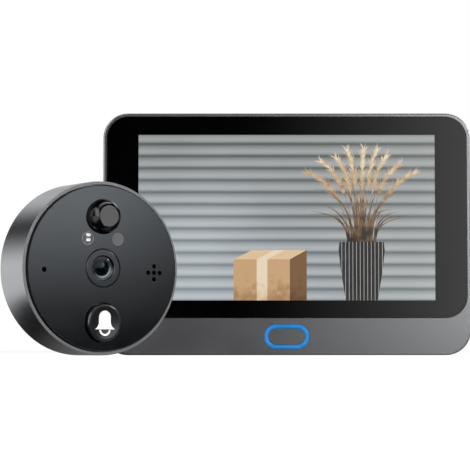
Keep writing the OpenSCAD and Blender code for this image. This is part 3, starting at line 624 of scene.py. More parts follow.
@dataclass(frozen=True)
class FoilWrap(Finish):
    """The battery's laminated foil, soft and creased."""

    name: str
    colour: Colour = shade(150, 156, 162)

    def draw(self, sheet: NodeSheet) -> None:
        """Draws broad creases over a fine grain.

        Args:
            sheet: The node sheet to draw on.
        """
        crease = sheet.noise(140.0, 5.0)
        colour = sheet.ramp(crease, [(0.3, dimmed(self.colour, 0.8)), (0.7, dimmed(self.colour, 1.1))])
        sheet.set(Base_Color=colour, Roughness=sheet.span(crease, 0.3, 0.7, (0.3, 0.45)), Metallic=0.8)
        sheet.bump(crease, 0.0002, 0.5)


@dataclass(frozen=True)
class CellFoam(Finish):
    """Closed-cell foam rubber."""

    name: str
    colour: Colour = shade(38, 39, 41)

    def draw(self, sheet: NodeSheet) -> None:
        """Draws open cut cells of two sizes.

        Args:
            sheet: The node sheet to draw on.
        """
        large, small = sheet.cells(1500.0), sheet.cells(3600.0)
        deep = sheet.math("MULTIPLY", large, small)
        colour = sheet.ramp(deep, [(0.0, dimmed(self.colour, 0.55)), (0.35, dimmed(self.colour, 1.25))])
        sheet.set(Base_Color=colour, Roughness=sheet.span(small, 0.0, 0.6, (0.95, 0.8)))
        sheet.bump(deep, 0.00018, 0.7)


@dataclass(frozen=True)
class ClearPane(Finish):
    """Clear glass or acrylic, smeared as little as a wiped pane is."""

    name: str
    tint: Colour = (0.985, 0.99, 0.99)
    refraction: float = 1.46
    roughness: float = 0.0
    sheen: Colour = (1.0, 1.0, 1.0)

    def draw(self, sheet: NodeSheet) -> None:
        """Draws the pane with a trace of smear in its tint and gloss.

        Args:
            sheet: The node sheet to draw on.
        """
        smear = sheet.noise(50.0, 3.0)
        tint = sheet.ramp(smear, [(0.4, self.tint), (0.8, dimmed(self.tint, 0.985))])
        gloss = sheet.span(smear, 0.55, 0.85, (self.roughness, self.roughness + 0.02))
        sheet.set(Base_Color=tint, Roughness=gloss, IOR=self.refraction)
        sheet.set(Transmission_Weight=1.0, Specular_Tint=self.sheen)


@dataclass(frozen=True)
class CoatedLens(Finish):
    """A lens element: dark glass under a coating, with a painted reflection of the coating that turns from
    one tint to another across it.
    """

    name: str
    middle: Colour
    edge: Colour
    centre: Point = (0.0, 0.0)
    reach: float = 0.0034
    roughness: float = 0.04
    index: float = 1.14
    coat: float = 0.15
    coat_tint: Colour = (0.86, 0.84, 1.0)

    def draw(self, sheet: NodeSheet) -> None:
        """Draws the coating's painted reflection as a tint out from the middle, uneven by a few parts in a
        hundred.

        Args:
            sheet: The node sheet to draw on.
        """
        unit = sheet.in_unit(Seat.CAMERA)
        out = sheet.math("DIVIDE", sheet.radius(unit, self.centre), self.reach)
        uneven = sheet.math("ADD", out, sheet.span(sheet.noise(700.0), 0.3, 0.7, (-0.05, 0.05)))
        # Painted reflection: dark in the middle and coloured towards the edge.
        tint = sheet.ramp(uneven, [(0.2, self.middle), (0.95, self.edge)])
        gloss = sheet.span(uneven, 0.0, 1.2, (self.roughness, self.roughness + 0.05))
        sheet.set(Base_Color=tint, Roughness=gloss, IOR=self.index)
        sheet.set(Coat_Weight=self.coat, Coat_Roughness=0.03, Coat_Tint=self.coat_tint)


@dataclass(frozen=True)
class LitPlastic(Finish):
    """Milky plastic lit from behind, brighter where the lamps under it sit. On the lamp's chips its glow is a
    painted highlight.
    """

    name: str
    colour: Colour
    glow: float = 0.6
    lamps: float = 260.0
    roughness: float = 0.3

    def draw(self, sheet: NodeSheet) -> None:
        """Draws the uneven light of the lamps through the plastic.

        Args:
            sheet: The node sheet to draw on.
        """
        uneven = sheet.noise(self.lamps, 1.0)
        lit = sheet.ramp(uneven, [(0.3, dimmed(self.colour, 0.88)), (0.7, dimmed(self.colour, 1.08))])
        gloss = sheet.span(sheet.noise(900.0), 0.3, 0.7, (self.roughness - 0.04, self.roughness + 0.04))
        sheet.set(Base_Color=lit, Emission_Color=lit, Emission_Strength=self.glow, Roughness=gloss)


@dataclass(frozen=True)
class RingedPlastic(Finish):
    """Milky plastic with the fine rings of a flat condensing lens."""

    name: str
    colour: Colour
    centre: Point
    pitch: float = 0.00045
    roughness: float = 0.45

    def draw(self, sheet: NodeSheet) -> None:
        """Draws the rings as fine saw teeth about the lens's own axis.

        Args:
            sheet: The node sheet to draw on.
        """
        away = sheet.radius(sheet.in_unit(Seat.CAMERA), self.centre)
        tooth = sheet.math("FRACT", sheet.math("DIVIDE", away, self.pitch))
        colour = sheet.ramp(tooth, [(0.0, dimmed(self.colour, 0.95)), (0.9, dimmed(self.colour, 1.04))])
        dull = sheet.span(tooth, 0.0, 1.0, (self.roughness, self.roughness + 0.06))
        sheet.set(Base_Color=colour, Roughness=dull)
        sheet.bump(tooth, 0.000006)


@dataclass(frozen=True)
class SlatPicture(Finish):
    """The screen's lit picture: the pale slats of a shutter, cooler and lighter towards the lower left."""

    name: str
    low: float = 0.0172
    pitch: float = 0.00388
    glow: float = 1.0

    def draw(self, sheet: NodeSheet) -> None:
        """Draws one slat's shading again and again, with its light and tint drifting across the picture.

        Args:
            sheet: The node sheet to draw on.
        """
        up = sheet.axis(sheet.place, "Z")
        across = sheet.axis(sheet.place, "X")
        waver = sheet.span(sheet.noise(40.0), 0.3, 0.7, (-0.00003, 0.00003))
        climb = sheet.math("SUBTRACT", sheet.math("ADD", up, waver), self.low)
        step = sheet.math("DIVIDE", climb, self.pitch)
        slat = sheet.ramp(
            sheet.math("FRACT", step),
            [
                (0.0, shade(80, 87, 84)),
                (0.1, shade(112, 118, 116)),
                (0.22, shade(156, 159, 158)),
                (0.4, shade(168, 170, 169)),
                (0.62, shade(154, 156, 156)),
                (0.84, shade(126, 129, 128)),
                (0.93, shade(100, 106, 103)),
                (1.0, shade(80, 87, 84)),
            ],
        )
        aside = sheet.span(across, 0.03, -0.03, (0.35, 1.0))
        veil = sheet.math("MULTIPLY", sheet.span(up, 0.08, 0.02), aside)
        lighter = sheet.mix(veil, slat, (0.17, 0.2, 0.235), "ADD")
        cloud = sheet.ramp(sheet.noise(32.0, 2.0), [(0.3, (0.92, 0.92, 0.92)), (0.7, (1.04, 1.04, 1.04))])
        picture = sheet.mix(1.0, lighter, cloud, "MULTIPLY")
        sheet.set(Base_Color=(0.01, 0.01, 0.012), Roughness=0.4, Specular_IOR_Level=0.0)
        sheet.set(Emission_Color=picture, Emission_Strength=self.glow)


@dataclass(frozen=True)
class PictureTone(Finish):
    """One tone of the lit picture: shaded along a direction, softly mottled and, if asked, striped."""

    name: str
    stops: tuple[tuple[float, Colour], ...]
    start: Place
    end: Place
    mottle: float = 900.0
    stripe: float = 0.0
    glow: float = 1.0

    def draw(self, sheet: NodeSheet) -> None:
        """Draws the shading between two points of the frame, then the mottle and the stripes.

        Args:
            sheet: The node sheet to draw on.
        """
        way = Vector(self.end) - Vector(self.start)
        node = sheet.add("VectorMath", operation="DOT_PRODUCT")
        shift = sheet.add("VectorMath", operation="SUBTRACT")
        sheet.put(shift.inputs[0], sheet.place)
        shift.inputs[1].default_value = self.start
        sheet.put(node.inputs[0], shift.outputs["Vector"])
        node.inputs[1].default_value = way / way.length_squared
        mottle = sheet.span(sheet.noise(self.mottle), 0.25, 0.75, (-0.16, 0.16))
        tone = sheet.ramp(sheet.math("ADD", node.outputs["Value"], mottle), list(self.stops), True)
        if self.stripe:
            comb = sheet.math("FRACT", sheet.math("DIVIDE", sheet.axis(sheet.place, "X"), self.stripe))
            tone = sheet.mix(sheet.span(comb, 0.84, 0.92), tone, shade(196, 192, 186))
        sheet.set(Base_Color=(0.01, 0.01, 0.01), Roughness=0.4, Specular_IOR_Level=0.0)
        sheet.set(Emission_Color=tone, Emission_Strength=self.glow)


CASE_PAINT = SatinPaint("case_paint", shade(156, 157, 160), 0.76, 0.18, 9000.0, 0.000001)
BORDER_BLACK = GlossShell("glass_border_black", shade(3, 3, 4), 0.06, 0.02)
RING_BLUE = LitPlastic("ring_blue_lit", shade(34, 138, 216), 0.42)
COVER_GRAIN = MouldedPlastic("cover_grain", shade(34, 35, 37), 0.5)
PART_BLACK = MouldedPlastic("part_black_grain", shade(24, 24, 26), 0.45, 4200.0, 0.00001)
CREAM_NYLON = MouldedPlastic("cream_nylon", shade(212, 205, 186), 0.4, 5200.0, 0.000006)
BOARD = CircuitBoard("circuit_board")
STEEL = BrushedSteel("bright_steel", shade(188, 190, 193), 0.28)
STEEL_COATED = BrushedSteel("steel_coated_black", shade(12, 12, 13), 0.6)
BRACKET_STEEL = BrushedSteel("bracket_steel_brushed", shade(168, 170, 173))
BATTERY_FOIL = FoilWrap("battery_foil_wrap")
GASKET_FOAM = CellFoam("gasket_foam_cells")
HOUSING_METAL = TurnedMetal("housing_satin_metal", shade(180, 182, 186), 0.22, rim=0.01578)
STUD_BRASS = TurnedMetal("stud_brass_turned", shade(196, 160, 92), 0.26, 9000.0, 0.000003)
# The panel's black sides are painted shade in its holes and round its edge.
PANEL_SATIN = SatinPaint("panel_satin", shade(113, 117, 121), 1.0, 0.1, 11000.0, 0.0000003, 0.0169, 0.02506)
BEZEL_SATIN = SatinPaint("bezel_satin", shade(113, 117, 122), 1.0, 0.11, 11000.0, 0.0000003)
DOME_GLOSS = GlossShell("dome_gloss_black", shade(10, 10, 11), 0.08, skirt=0.018)
MOTION_WINDOW = RingedPlastic("motion_window_milky", shade(112, 112, 111), (0.0, 0.01567))
BUTTON_SATIN = GlossShell("button_satin_black", shade(40, 41, 43), 0.14, 0.05, index=1.9)
SIGN_WHITE = LitPlastic("sign_white_lit", shade(250, 250, 250), 0.55, 900.0)
PANE_CLEAR = ClearPane("pane_clear")
WINDOW_CLEAR = ClearPane("window_clear_acrylic", (0.95, 0.97, 0.98), 1.49)
WINDOW_GREY = MouldedPlastic("window_grey_milky", shade(138, 139, 143), 0.35, 6500.0, 0.000004)
LENS_FRONT = ClearPane("lens_front_glass", (0.93, 0.97, 0.97), 1.45, 0.0, (0.38, 0.36, 0.54))
LENS_CONE = TurnedMetal("lens_cone_satin", shade(168, 174, 184), 0.18, 14000.0, 0.0000003)
# The inner element's teal towards its edge is painted reflection of the coating.
LENS_INNER = CoatedLens("lens_inner_coated", shade(6, 9, 10), shade(12, 46, 42), (0.0, 0.0), 0.0024)
SENSOR_DARK = GlossShell("sensor_dark_glass", shade(40, 44, 56), 0.1)
# The lamp chips' glow is a painted highlight, standing in for the highlights on the lamp behind its window.
LAMP_CHIP_HIGHLIGHT = LitPlastic("lamp_chips_painted_highlight", shade(250, 249, 246), 0.8, 2500.0)
LAMP_CUP = MouldedPlastic("lamp_cup_satin", shade(150, 152, 155), 0.4, 5200.0, 0.000004)
# The collar's light grey is a painted highlight, standing in for the bright edge of the lamp's window.
LAMP_COLLAR_HIGHLIGHT = MouldedPlastic("lamp_collar_painted_highlight", shade(188, 190, 193), 0.4, 5200.0, 0.000003)
PANEL_SLATS = SlatPicture("screen_slats_lit")


# Modelling


def clear_bench() -> None:
    """Leaves edit mode and deselects everything, so that an operator acts on the new piece alone."""
    if bpy.context.mode != "OBJECT":
        bpy.ops.object.mode_set(mode="OBJECT")
    bpy.ops.object.select_all(action="DESELECT")


def arc(centre: Point, radius: float, start: float, end: float, count: int) -> list[Point]:
    """Returns points along an arc.

    Args:
        centre: Middle of the arc.
        radius: Its radius.
        start: Angle of the first point, in degrees.
        end: Angle of the last point, in degrees.
        count: How many points.

    Returns:
        The points, from start to end.
    """
    turns = [math.radians(start + (end - start) * i / (count - 1)) for i in range(count)]
    return [(centre[0] + radius * math.cos(t), centre[1] + radius * math.sin(t)) for t in turns]


class Workpiece:
    """One mesh on the bench, modelled with Blender's operators in a unit's own axes, in millimetres."""

    def __init__(self, name: str, blank: bpy.types.Object) -> None:
        """Takes a new object as the blank.

        Args:
            name: Name of the piece.
            blank: The object that a primitive made.
        """
        blank.name = name
        self.object = blank

    @classmethod
    def trace(cls, name: str, points: list[Place]) -> "Workpiece":
        """Draws a line from point to point, and leaves all of it selected in edit mode.

        Args:
            name: Name of the piece.
            points: The points, in order.

        Returns:
            The line.
        """
        clear_bench()
        bpy.ops.mesh.primitive_plane_add(size=1.0)
        piece = cls(name, bpy.context.active_object)
        bpy.ops.object.mode_set(mode="EDIT")
        bpy.ops.mesh.select_all(action="SELECT")
        bpy.ops.mesh.merge(type="CENTER")
        bpy.ops.transform.translate(value=points[0])
        for near, far in zip(points, points[1:]):
            step = tuple(b - a for a, b in zip(near, far))
            bpy.ops.mesh.extrude_vertices_move(TRANSFORM_OT_translate={"value": step})
        bpy.ops.mesh.select_all(action="SELECT")
        return piece

    @classmethod
    def lathe(
        cls,
        name: str,
        profile: list[Point],
        steps: int = 96,
        centre: Point = (0.0, 0.0),
    ) -> "Workpiece":
        """Turns a profile round a line along z.

        Args:
            name: Name of the piece.
            profile: Points of the profile, as radius and depth.
            steps: Steps of the turn.
            centre: Where the line crosses the unit's front.

        Returns:
            The turned piece.
        """
        piece = cls.trace(name, [(radius, 0, depth) for radius, depth in profile])
        bpy.ops.mesh.spin(steps=steps, angle=FULL_TURN, center=(0, 0, 0), axis=(0, 0, 1))
        bpy.ops.mesh.select_all(action="SELECT")
        bpy.ops.mesh.remove_doubles(threshold=WELD)
        bpy.ops.mesh.normals_make_consistent(inside=False)
        bpy.ops.transform.translate(value=(centre[0], centre[1], 0))
        bpy.ops.object.mode_set(mode="OBJECT")
        return piece

    @classmethod
    def plate(
        cls,
        name: str,
        size: Point,
        corner: float,
        depths: Point,
        centre: Point,
    ) -> "Workpiece":
        """Makes a plate with rounded corners.

        Args:
            name: Name of the piece.
            size: Width and height.
            corner: Radius of the corners.
            depths: Depth of its back and of its front.
            centre: Middle of the plate.

        Returns:
            The plate.
        """
        clear_bench()
        bpy.ops.mesh.primitive_plane_add(size=1.0)
        piece = cls(name, bpy.context.active_object)
        bpy.ops.object.mode_set(mode="EDIT")
        bpy.ops.mesh.select_all(action="SELECT")
        bpy.ops.transform.resize(value=(size[0], size[1], 1))
        if corner:
            bpy.ops.mesh.bevel(offset=corner, segments=14, affect="VERTICES")
        bpy.ops.mesh.select_all(action="SELECT")
        bpy.ops.mesh.extrude_region_move(TRANSFORM_OT_translate={"value": (0, 0, depths[1] - depths[0])})
        bpy.ops.mesh.select_all(action="SELECT")
        bpy.ops.mesh.normals_make_consistent(inside=False)
        bpy.ops.transform.translate(value=(centre[0], centre[1], depths[0]))
        bpy.ops.object.mode_set(mode="OBJECT")
        return piece

    def choose(self, kind: str, test: Callable[[object], bool]) -> None:
        """Selects vertices, edges or faces by their place or normal, in edit mode.

        Args:
            kind: One of verts, edges and faces.
            test: Says whether an element is wanted.
        """
        bpy.context.view_layer.objects.active = self.object
        if bpy.context.mode != "EDIT_MESH":
            bpy.ops.object.mode_set(mode="EDIT")
        bpy.ops.mesh.select_mode(type={"verts": "VERT", "edges": "EDGE", "faces": "FACE"}[kind])
        bpy.ops.mesh.select_all(action="DESELECT")
        mesh = bmesh.from_edit_mesh(self.object.data)
        for element in getattr(mesh, kind):
            if test(element):
                element.select_set(True)
        mesh.select_flush_mode()
        bmesh.update_edit_mesh(self.object.data)

    def soften(self, test: Callable[[object], bool], size: float, segments: int = 3) -> "Workpiece":
        """Rounds the edges that pass a test.

        Args:
            test: Says whether an edge is wanted.
            size: Width of the rounding.
            segments: Steps of the rounding.

        Returns:
            This piece.
        """
        self.choose("edges", test)
        bpy.ops.mesh.bevel(offset=size, segments=segments, affect="EDGES")
        bpy.ops.object.mode_set(mode="OBJECT")
        return self

    def draw_out(self, half: float) -> "Workpiece":
        """Pulls the left and right halves apart by half a length each.

        Args:
            half: Half of the length.

        Returns:
            This piece.
        """
        for side in (-1, 1):
            self.choose("verts", lambda v, s=side: v.co.x * s > 0)
            bpy.ops.transform.translate(value=(side * half, 0, 0))
        bpy.ops.object.mode_set(mode="OBJECT")
        return self

    def shift(self, by: Place) -> "Workpiece":
        """Moves the whole mesh.

        Args:
            by: How far to move it along each axis.

        Returns:
            This piece.
        """
        self.choose("verts", lambda v: True)
        bpy.ops.transform.translate(value=by)
        bpy.ops.object.mode_set(mode="OBJECT")
        return self

    def combine(self, other: "Workpiece", operation: str) -> "Workpiece":
        """Cuts with another piece, or keeps what both share, and uses the other piece up.

        Args:
            other: The other piece.
            operation: DIFFERENCE or INTERSECT.

        Returns:
            This piece.
        """
        clear_bench()
        bpy.context.view_layer.objects.active = self.object
        self.object.select_set(True)
        change = self.object.modifiers.new("cut", "BOOLEAN")
        change.operation, change.solver, change.object = operation, "EXACT", other.object
        bpy.ops.object.modifier_apply(modifier=change.name)
        bpy.data.objects.remove(other.object, do_unlink=True)
        return self

    def copies(self, places: Iterable[Place]) -> "Workpiece":
        """Copies the piece to each place and joins the copies to it.

        Args:
            places: Each copy's way from the piece.

        Returns:
            This piece.
        """
        made = []
        for place in places:
            clear_bench()
            self.object.select_set(True)
            bpy.context.view_layer.objects.active = self.object
            bpy.ops.object.duplicate(linked=False)
            twin = Workpiece(self.object.name + "_copy", bpy.context.active_object)
            made.append(twin.shift(place))
        return self.join(made)

    def join(self, others: list["Workpiece"]) -> "Workpiece":
        """Joins other pieces into this one.

        Args:
            others: The other pieces.

        Returns:
            This piece.
        """
        clear_bench()
        for other in others:
            other.object.select_set(True)
        self.object.select_set(True)
        bpy.context.view_layer.objects.active = self.object
        bpy.ops.object.join()
        return self

    def seat(
        self,
        seat: Seat,
        body: str,
        slot: str,
        finish: Finish,
        replaces: tuple[str, ...] = (),
        crease: float = 32.0,
    ) -> bpy.types.Object:
        """Seats the piece in the frame, smooths it, dresses it and lets it ride.

        Args:
            seat: The unit whose axes it was modelled in.
            body: The body that it rides on.
            slot: The record's material slot; not used.
            finish: Its finish.
            replaces: The nodes that it stands for.
            crease: Angle past which an edge stays sharp, in degrees.

        Returns:
            The finished object.
        """
        clear_bench()
        piece = self.object
        piece.select_set(True)
        bpy.context.view_layer.objects.active = piece
        bpy.ops.object.shade_smooth_by_angle(angle=math.radians(crease))
        weighted = piece.modifiers.new("flat_faces", "WEIGHTED_NORMAL")
        weighted.keep_sharp = True
        weighted.weight = 100
        weighted.thresh = 0.002
        bpy.ops.object.modifier_apply(modifier=weighted.name)
        piece.matrix_world = seat.matrix()
        bpy.ops.object.transform_apply(location=True, rotation=True, scale=True)
        piece.data.name = piece.name
        finish.cover(piece)
        if replaces:
            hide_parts(*replaces)
        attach(piece, body)
        LOG.info("%s: %d faces on %s", piece.name, len(piece.data.polygons), body)
        return piece


class SubAssembly:
    """A group of pieces that are built and dressed together."""

    def build(self) -> None:
        """Builds the group's new pieces, if it has any."""

    def dress(self) -> None:
        """Dresses the nodes whose solids stay, if the group has any."""


def dress(finish: Finish, *nodes: str) -> None:
    """Puts a finish on nodes whose solid already has the right shape.

    Args:
        finish: The finish.
        nodes: Names of the nodes.
    """
    for name in nodes:
        finish.cover(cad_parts[name])
        LOG.info("%s: %s", name, finish.name)


# Monitor


@dataclass
class Screen(SubAssembly):
    """Cover glass with its black border, and the lit picture behind it."""

    glass: Point = (115.3, 64.5)
    corner: float = 7.05
    picture: Point = (94.9, 53.05)
    middle: Point = (0.0, 44.1)
    sink: float = 0.125
    glass_back: float = 15.25
    glass_front: float = 16.35
    panel_front: float = 15.2
    edge: float = 0.12
    picture_low: float = 17.48
    picture_top: float = 70.3
    picture_side: float = 46.9
    root: Point = (24.0, 35.0)

    def build(self) -> None:
        """Builds the border, the clear pane and the picture's planter and parcel."""
        self.build_border()
        self.build_pane()
        self.build_planter()
        self.build_parcel()

    def build_border(self) -> None:
        """Builds the printed part of the glass, with its front edge softened."""
        depths = (self.glass_back, self.glass_front)
        border = Workpiece.plate("glass_border", self.glass, self.corner, depths, self.middle)
        border.soften(lambda e: min(v.co.z for v in e.verts) > self.glass_front - 1e-4, self.edge)
        through = (self.glass_back - 1, self.glass_front + 1)
        block = Workpiece.plate("picture_block", self.picture, 0.0, through, self.picture_middle())
        border.combine(block, "DIFFERENCE")
        border.seat(Seat.MONITOR, "monitor", "screen_glass", BORDER_BLACK, ("cover_glass",), 15)

    def picture_middle(self) -> Point:
        """Returns the middle of the picture."""
        return self.middle[0], self.middle[1] - self.sink

    def build_pane(self) -> None:
        """Builds the clear part of the glass, inside the border."""
        gap = 0.01
        size = (self.picture[0] - 2 * gap, self.picture[1] - 2 * gap)
        depths = (self.glass_back, self.glass_front)
        pane = Workpiece.plate("glass_pane", size, 0.0, depths, self.picture_middle())
        pane.seat(Seat.MONITOR, "monitor", "screen_glass", PANE_CLEAR, ("cover_glass",))

    def strokes(self, name: str, lines: list[Stroke], layer: float, finish: Finish) -> bpy.types.Object:
        """Draws tapering strokes on the picture, as thin flat slivers.

        Args:
            name: Name of the piece.
            lines: Each stroke's points and its width at the root.
            layer: How far before the panel it lies.
            finish: Its tone.

        Returns:
            The finished object.
        """
        clear_bench()
        curve = bpy.data.curves.new(name, "CURVE")
        curve.dimensions, curve.bevel_mode = "3D", "ROUND"
        curve.bevel_depth, curve.bevel_resolution, curve.use_fill_caps = 0.5, 0, True
        for points, width in lines:
            spline = curve.splines.new("POLY")
            spline.points.add(len(points) - 1)
            for index, (x, y) in enumerate(points):
                spline.points[index].co = (x, y, 0.0, 1.0)
                spline.points[index].radius = width * max(0.12, 1 - (index / (len(points) - 1)) ** 1.5)
        blank = bpy.data.objects.new(name, curve)
        bpy.context.scene.collection.objects.link(blank)
        bpy.context.view_layer.objects.active = blank
        blank.select_set(True)
        bpy.ops.object.convert(target="MESH")
        piece = Workpiece(name, bpy.context.active_object)
        piece.choose("verts", lambda v: True)
        bpy.ops.transform.resize(value=(1, 1, 0.004))
        bpy.ops.transform.translate(value=(0, 0, self.panel_front + layer))
        bpy.ops.object.mode_set(mode="OBJECT")
        return piece.seat(Seat.MONITOR, "monitor", "screen_picture", finish)

    def build_planter(self) -> None:
        """Builds a striped planter with dry grasses at the right of the picture."""
        dice = random.Random(11)
        blades = self.blades(dice)
        stems, hairs = self.plumes(dice)
        self.strokes("picture_blades", blades, 0.012, self.grass_tone("picture_blade_tone", 0.62))
        self.strokes("picture_stems", stems, 0.018, self.grass_tone("picture_stem_tone", 0.8))
        self.strokes("picture_plumes", hairs, 0.024, self.grass_tone("picture_plume_tone", 1.0))
        half = [(5.1, self.picture_low), (6.6, 26.5), (7.4, 33.5), (7.1, 36.2)]
        outline = [(-x, y) for x, y in half] + half[::-1]
        pot = self.shape("picture_planter", [(self.root[0] + x, y) for x, y in outline], 0.03)
        black = (
            (0.0, shade(52, 52, 56)),
            (0.22, shade(34, 34, 38)),
            (0.6, shade(14, 14, 17)),
            (1.0, shade(7, 7, 9)),
        )
        ends = ((0.0166, -0.008, 0.03), (0.0316, -0.008, 0.03))
        tone = PictureTone("picture_planter_tone", black, *ends, 300.0, 0.00118)
        pot.seat(Seat.MONITOR, "monitor", "screen_picture", tone)

    def blades(self, dice: random.Random) -> list[Stroke]:
        """Draws the broad leaves that fan out from the root.

        Args:
            dice: The random numbers.

        Returns:
            The strokes.
        """
        middle, foot = self.root
        drawn = []
        for index in range(26):
            lean = (index / 25 - 0.5) * 2
            across = middle + lean * dice.uniform(12, 22)
            tip = (across, foot + dice.uniform(9, 25) * (1.15 - 0.6 * abs(lean)))
            bow = (middle + lean * 4, foot + (tip[1] - foot) * 0.75 + dice.uniform(1, 5))
            start = (middle + lean * 4.2, foot - 1)
            drawn.append((self.bent(start, bow, tip, 9), dice.uniform(0.45, 0.9)))
        return drawn

    def plumes(self, dice: random.Random) -> tuple[list[Stroke], list[Stroke]]:
        """Draws the thin stems, and the hairs of the plume at the end of each.

        Args:
            dice: The random numbers.

        Returns:
            The stems' strokes and the hairs' strokes.
        """
        middle, foot = self.root
        stems, hairs = [], []
        for index in range(9):
            lean = (index / 8 - 0.5) * 2
            across = middle + lean * 17 + dice.uniform(-1, 1)
            tip = (across, 66.5 - 9 * lean * lean + dice.uniform(-1.5, 1.0))
            bow = (middle + lean * 5, foot + (tip[1] - foot) * 0.8)
            stem = self.bent((middle + lean * 3.5, foot - 1), bow, tip, 14)
            stems.append((stem, 0.22))
            hairs += self.plume(stem, dice)
        return stems, hairs

    def bent(self, start: Point, bow: Point, end: Point, count: int) -> list[Point]:
        """Draws a stroke that bends from start to end towards bow, kept on the picture.

        Args:
            start: The first point.
            bow: The point that it bends towards.
            end: The last point.
            count: How many points.

        Returns:
            The points.
        """
        points = []
        for index in range(count):
            t = index / (count - 1)
            x = (1 - t) ** 2 * start[0] + 2 * t * (1 - t) * bow[0] + t * t * end[0]
            y = (1 - t) ** 2 * start[1] + 2 * t * (1 - t) * bow[1] + t * t * end[1]
            points.append((min(max(x, -self.picture_side), self.picture_side), min(y, self.picture_top)))
        return points

    def plume(self, stem: list[Point], dice: random.Random) -> list[Stroke]:
        """Draws the hairs of one plume along the upper part of its stem.

        Args:
            stem: The stem's points.
            dice: The random numbers.

        Returns:
            The hairs' strokes.
        """
        hairs = []
        for index in range(64):
            share = 0.45 + 0.55 * index / 63
            at = share * (len(stem) - 1)
            low = min(int(at), len(stem) - 2)
            near, far = stem[low], stem[low + 1]
            part = at - low
            start = (near[0] + (far[0] - near[0]) * part, near[1] + (far[1] - near[1]) * part)
            heading = math.atan2(far[1] - near[1], far[0] - near[0])
            swing = (1 if index % 2 else -1) * math.radians(dice.uniform(8, 34))
            long = dice.uniform(2.8, 5.2) * (1.15 - 0.55 * share)
            tip = (start[0] + long * math.cos(heading + swing), start[1] + long * math.sin(heading + swing))
            bow = (
                start[0] + long * 0.6 * math.cos(heading + swing * 0.3),
                start[1] + long * 0.6 * math.sin(heading + swing * 0.3),
            )
            hairs.append((self.bent(start, bow, tip, 5), dice.uniform(0.22, 0.42)))
        return hairs

    @staticmethod
    def grass_tone(name: str, light: float) -> PictureTone:
        """Makes the dry grass's tone, from brown at the root to cream at the tips.

        Args:
            name: Name of the tone.
            light: Share of the full light.

        Returns:
            The tone.
        """
        stops = (
            (0.0, dimmed(shade(58, 44, 30), light)),
            (0.35, dimmed(shade(150, 116, 78), light)),
            (0.65, dimmed(shade(208, 176, 134), light)),
            (1.0, dimmed(shade(240, 222, 190), light)),
        )
        return PictureTone(name, stops, (0.024, -0.008, 0.035), (0.024, -0.008, 0.068), 420.0)

    def shape(self, name: str, outline: list[Point], layer: float) -> Workpiece:
        """Fills an outline of the picture as a thin sheet.

        Args:
            name: Name of the piece.
            outline: The corners, in order.
            layer: How far before the panel it lies.

        Returns:
            The sheet.
        """
        piece = Workpiece.trace(name, [(x, y, 0) for x, y in outline])
        bpy.ops.mesh.edge_face_add()
        bpy.ops.mesh.extrude_region_move(TRANSFORM_OT_translate={"value": (0, 0, 0.002)})
        bpy.ops.mesh.select_all(action="SELECT")
        bpy.ops.mesh.normals_make_consistent(inside=False)
        bpy.ops.transform.translate(value=(0, 0, self.panel_front + layer))
        bpy.ops.object.mode_set(mode="OBJECT")
        return piece

    def build_parcel(self) -> None:
        """Builds a taped parcel left of the picture's middle."""
        low, ledge, back = self.picture_low, 30.6, 33.6
        near, far = (-17.0, 1.0), (-11.0, 6.4)
        tape = [(-9.6, low), (-6.2, low), (-6.2, ledge), (-0.6, back), (-3.9, back), (-9.6, ledge)]
        front = [(near[0], low), (near[1], low), (near[1], ledge), (near[0], ledge)]
        side = [(near[1], low), (far[1], low), (far[1], back), (near[1], ledge)]
        top = [(near[0], ledge), (near[1], ledge), (far[1], back), (far[0], back)]
        faces = {
            "front": (front, (206, 168, 126), (170, 134, 98)),
            "side": (side, (128, 96, 66), (104, 76, 52)),
            "top": (top, (228, 198, 160), (214, 180, 140)),
            "tape": (tape, (238, 220, 192), (212, 186, 150)),
        }
        ends = ((0, -0.008, 0.016), (0, -0.008, 0.034))
        for part, (outline, light, dark) in faces.items():
            stops = ((0.0, shade(*dark)), (0.5, shade(*light)), (1.0, shade(*light)))
            tone = PictureTone(f"picture_parcel_{part}_tone", stops, *ends, 500.0)
            piece = self.shape(f"picture_parcel_{part}", outline, 0.034 if part == "tape" else 0.028)
            piece.seat(Seat.MONITOR, "monitor", "screen_picture", tone)

    def dress(self) -> None:
        """Dresses the layers under the glass."""
        dress(PANEL_SLATS, "display_panel")
        dress(STEEL, "display_backlight")
        dress(PART_BLACK, "glass_adhesive")


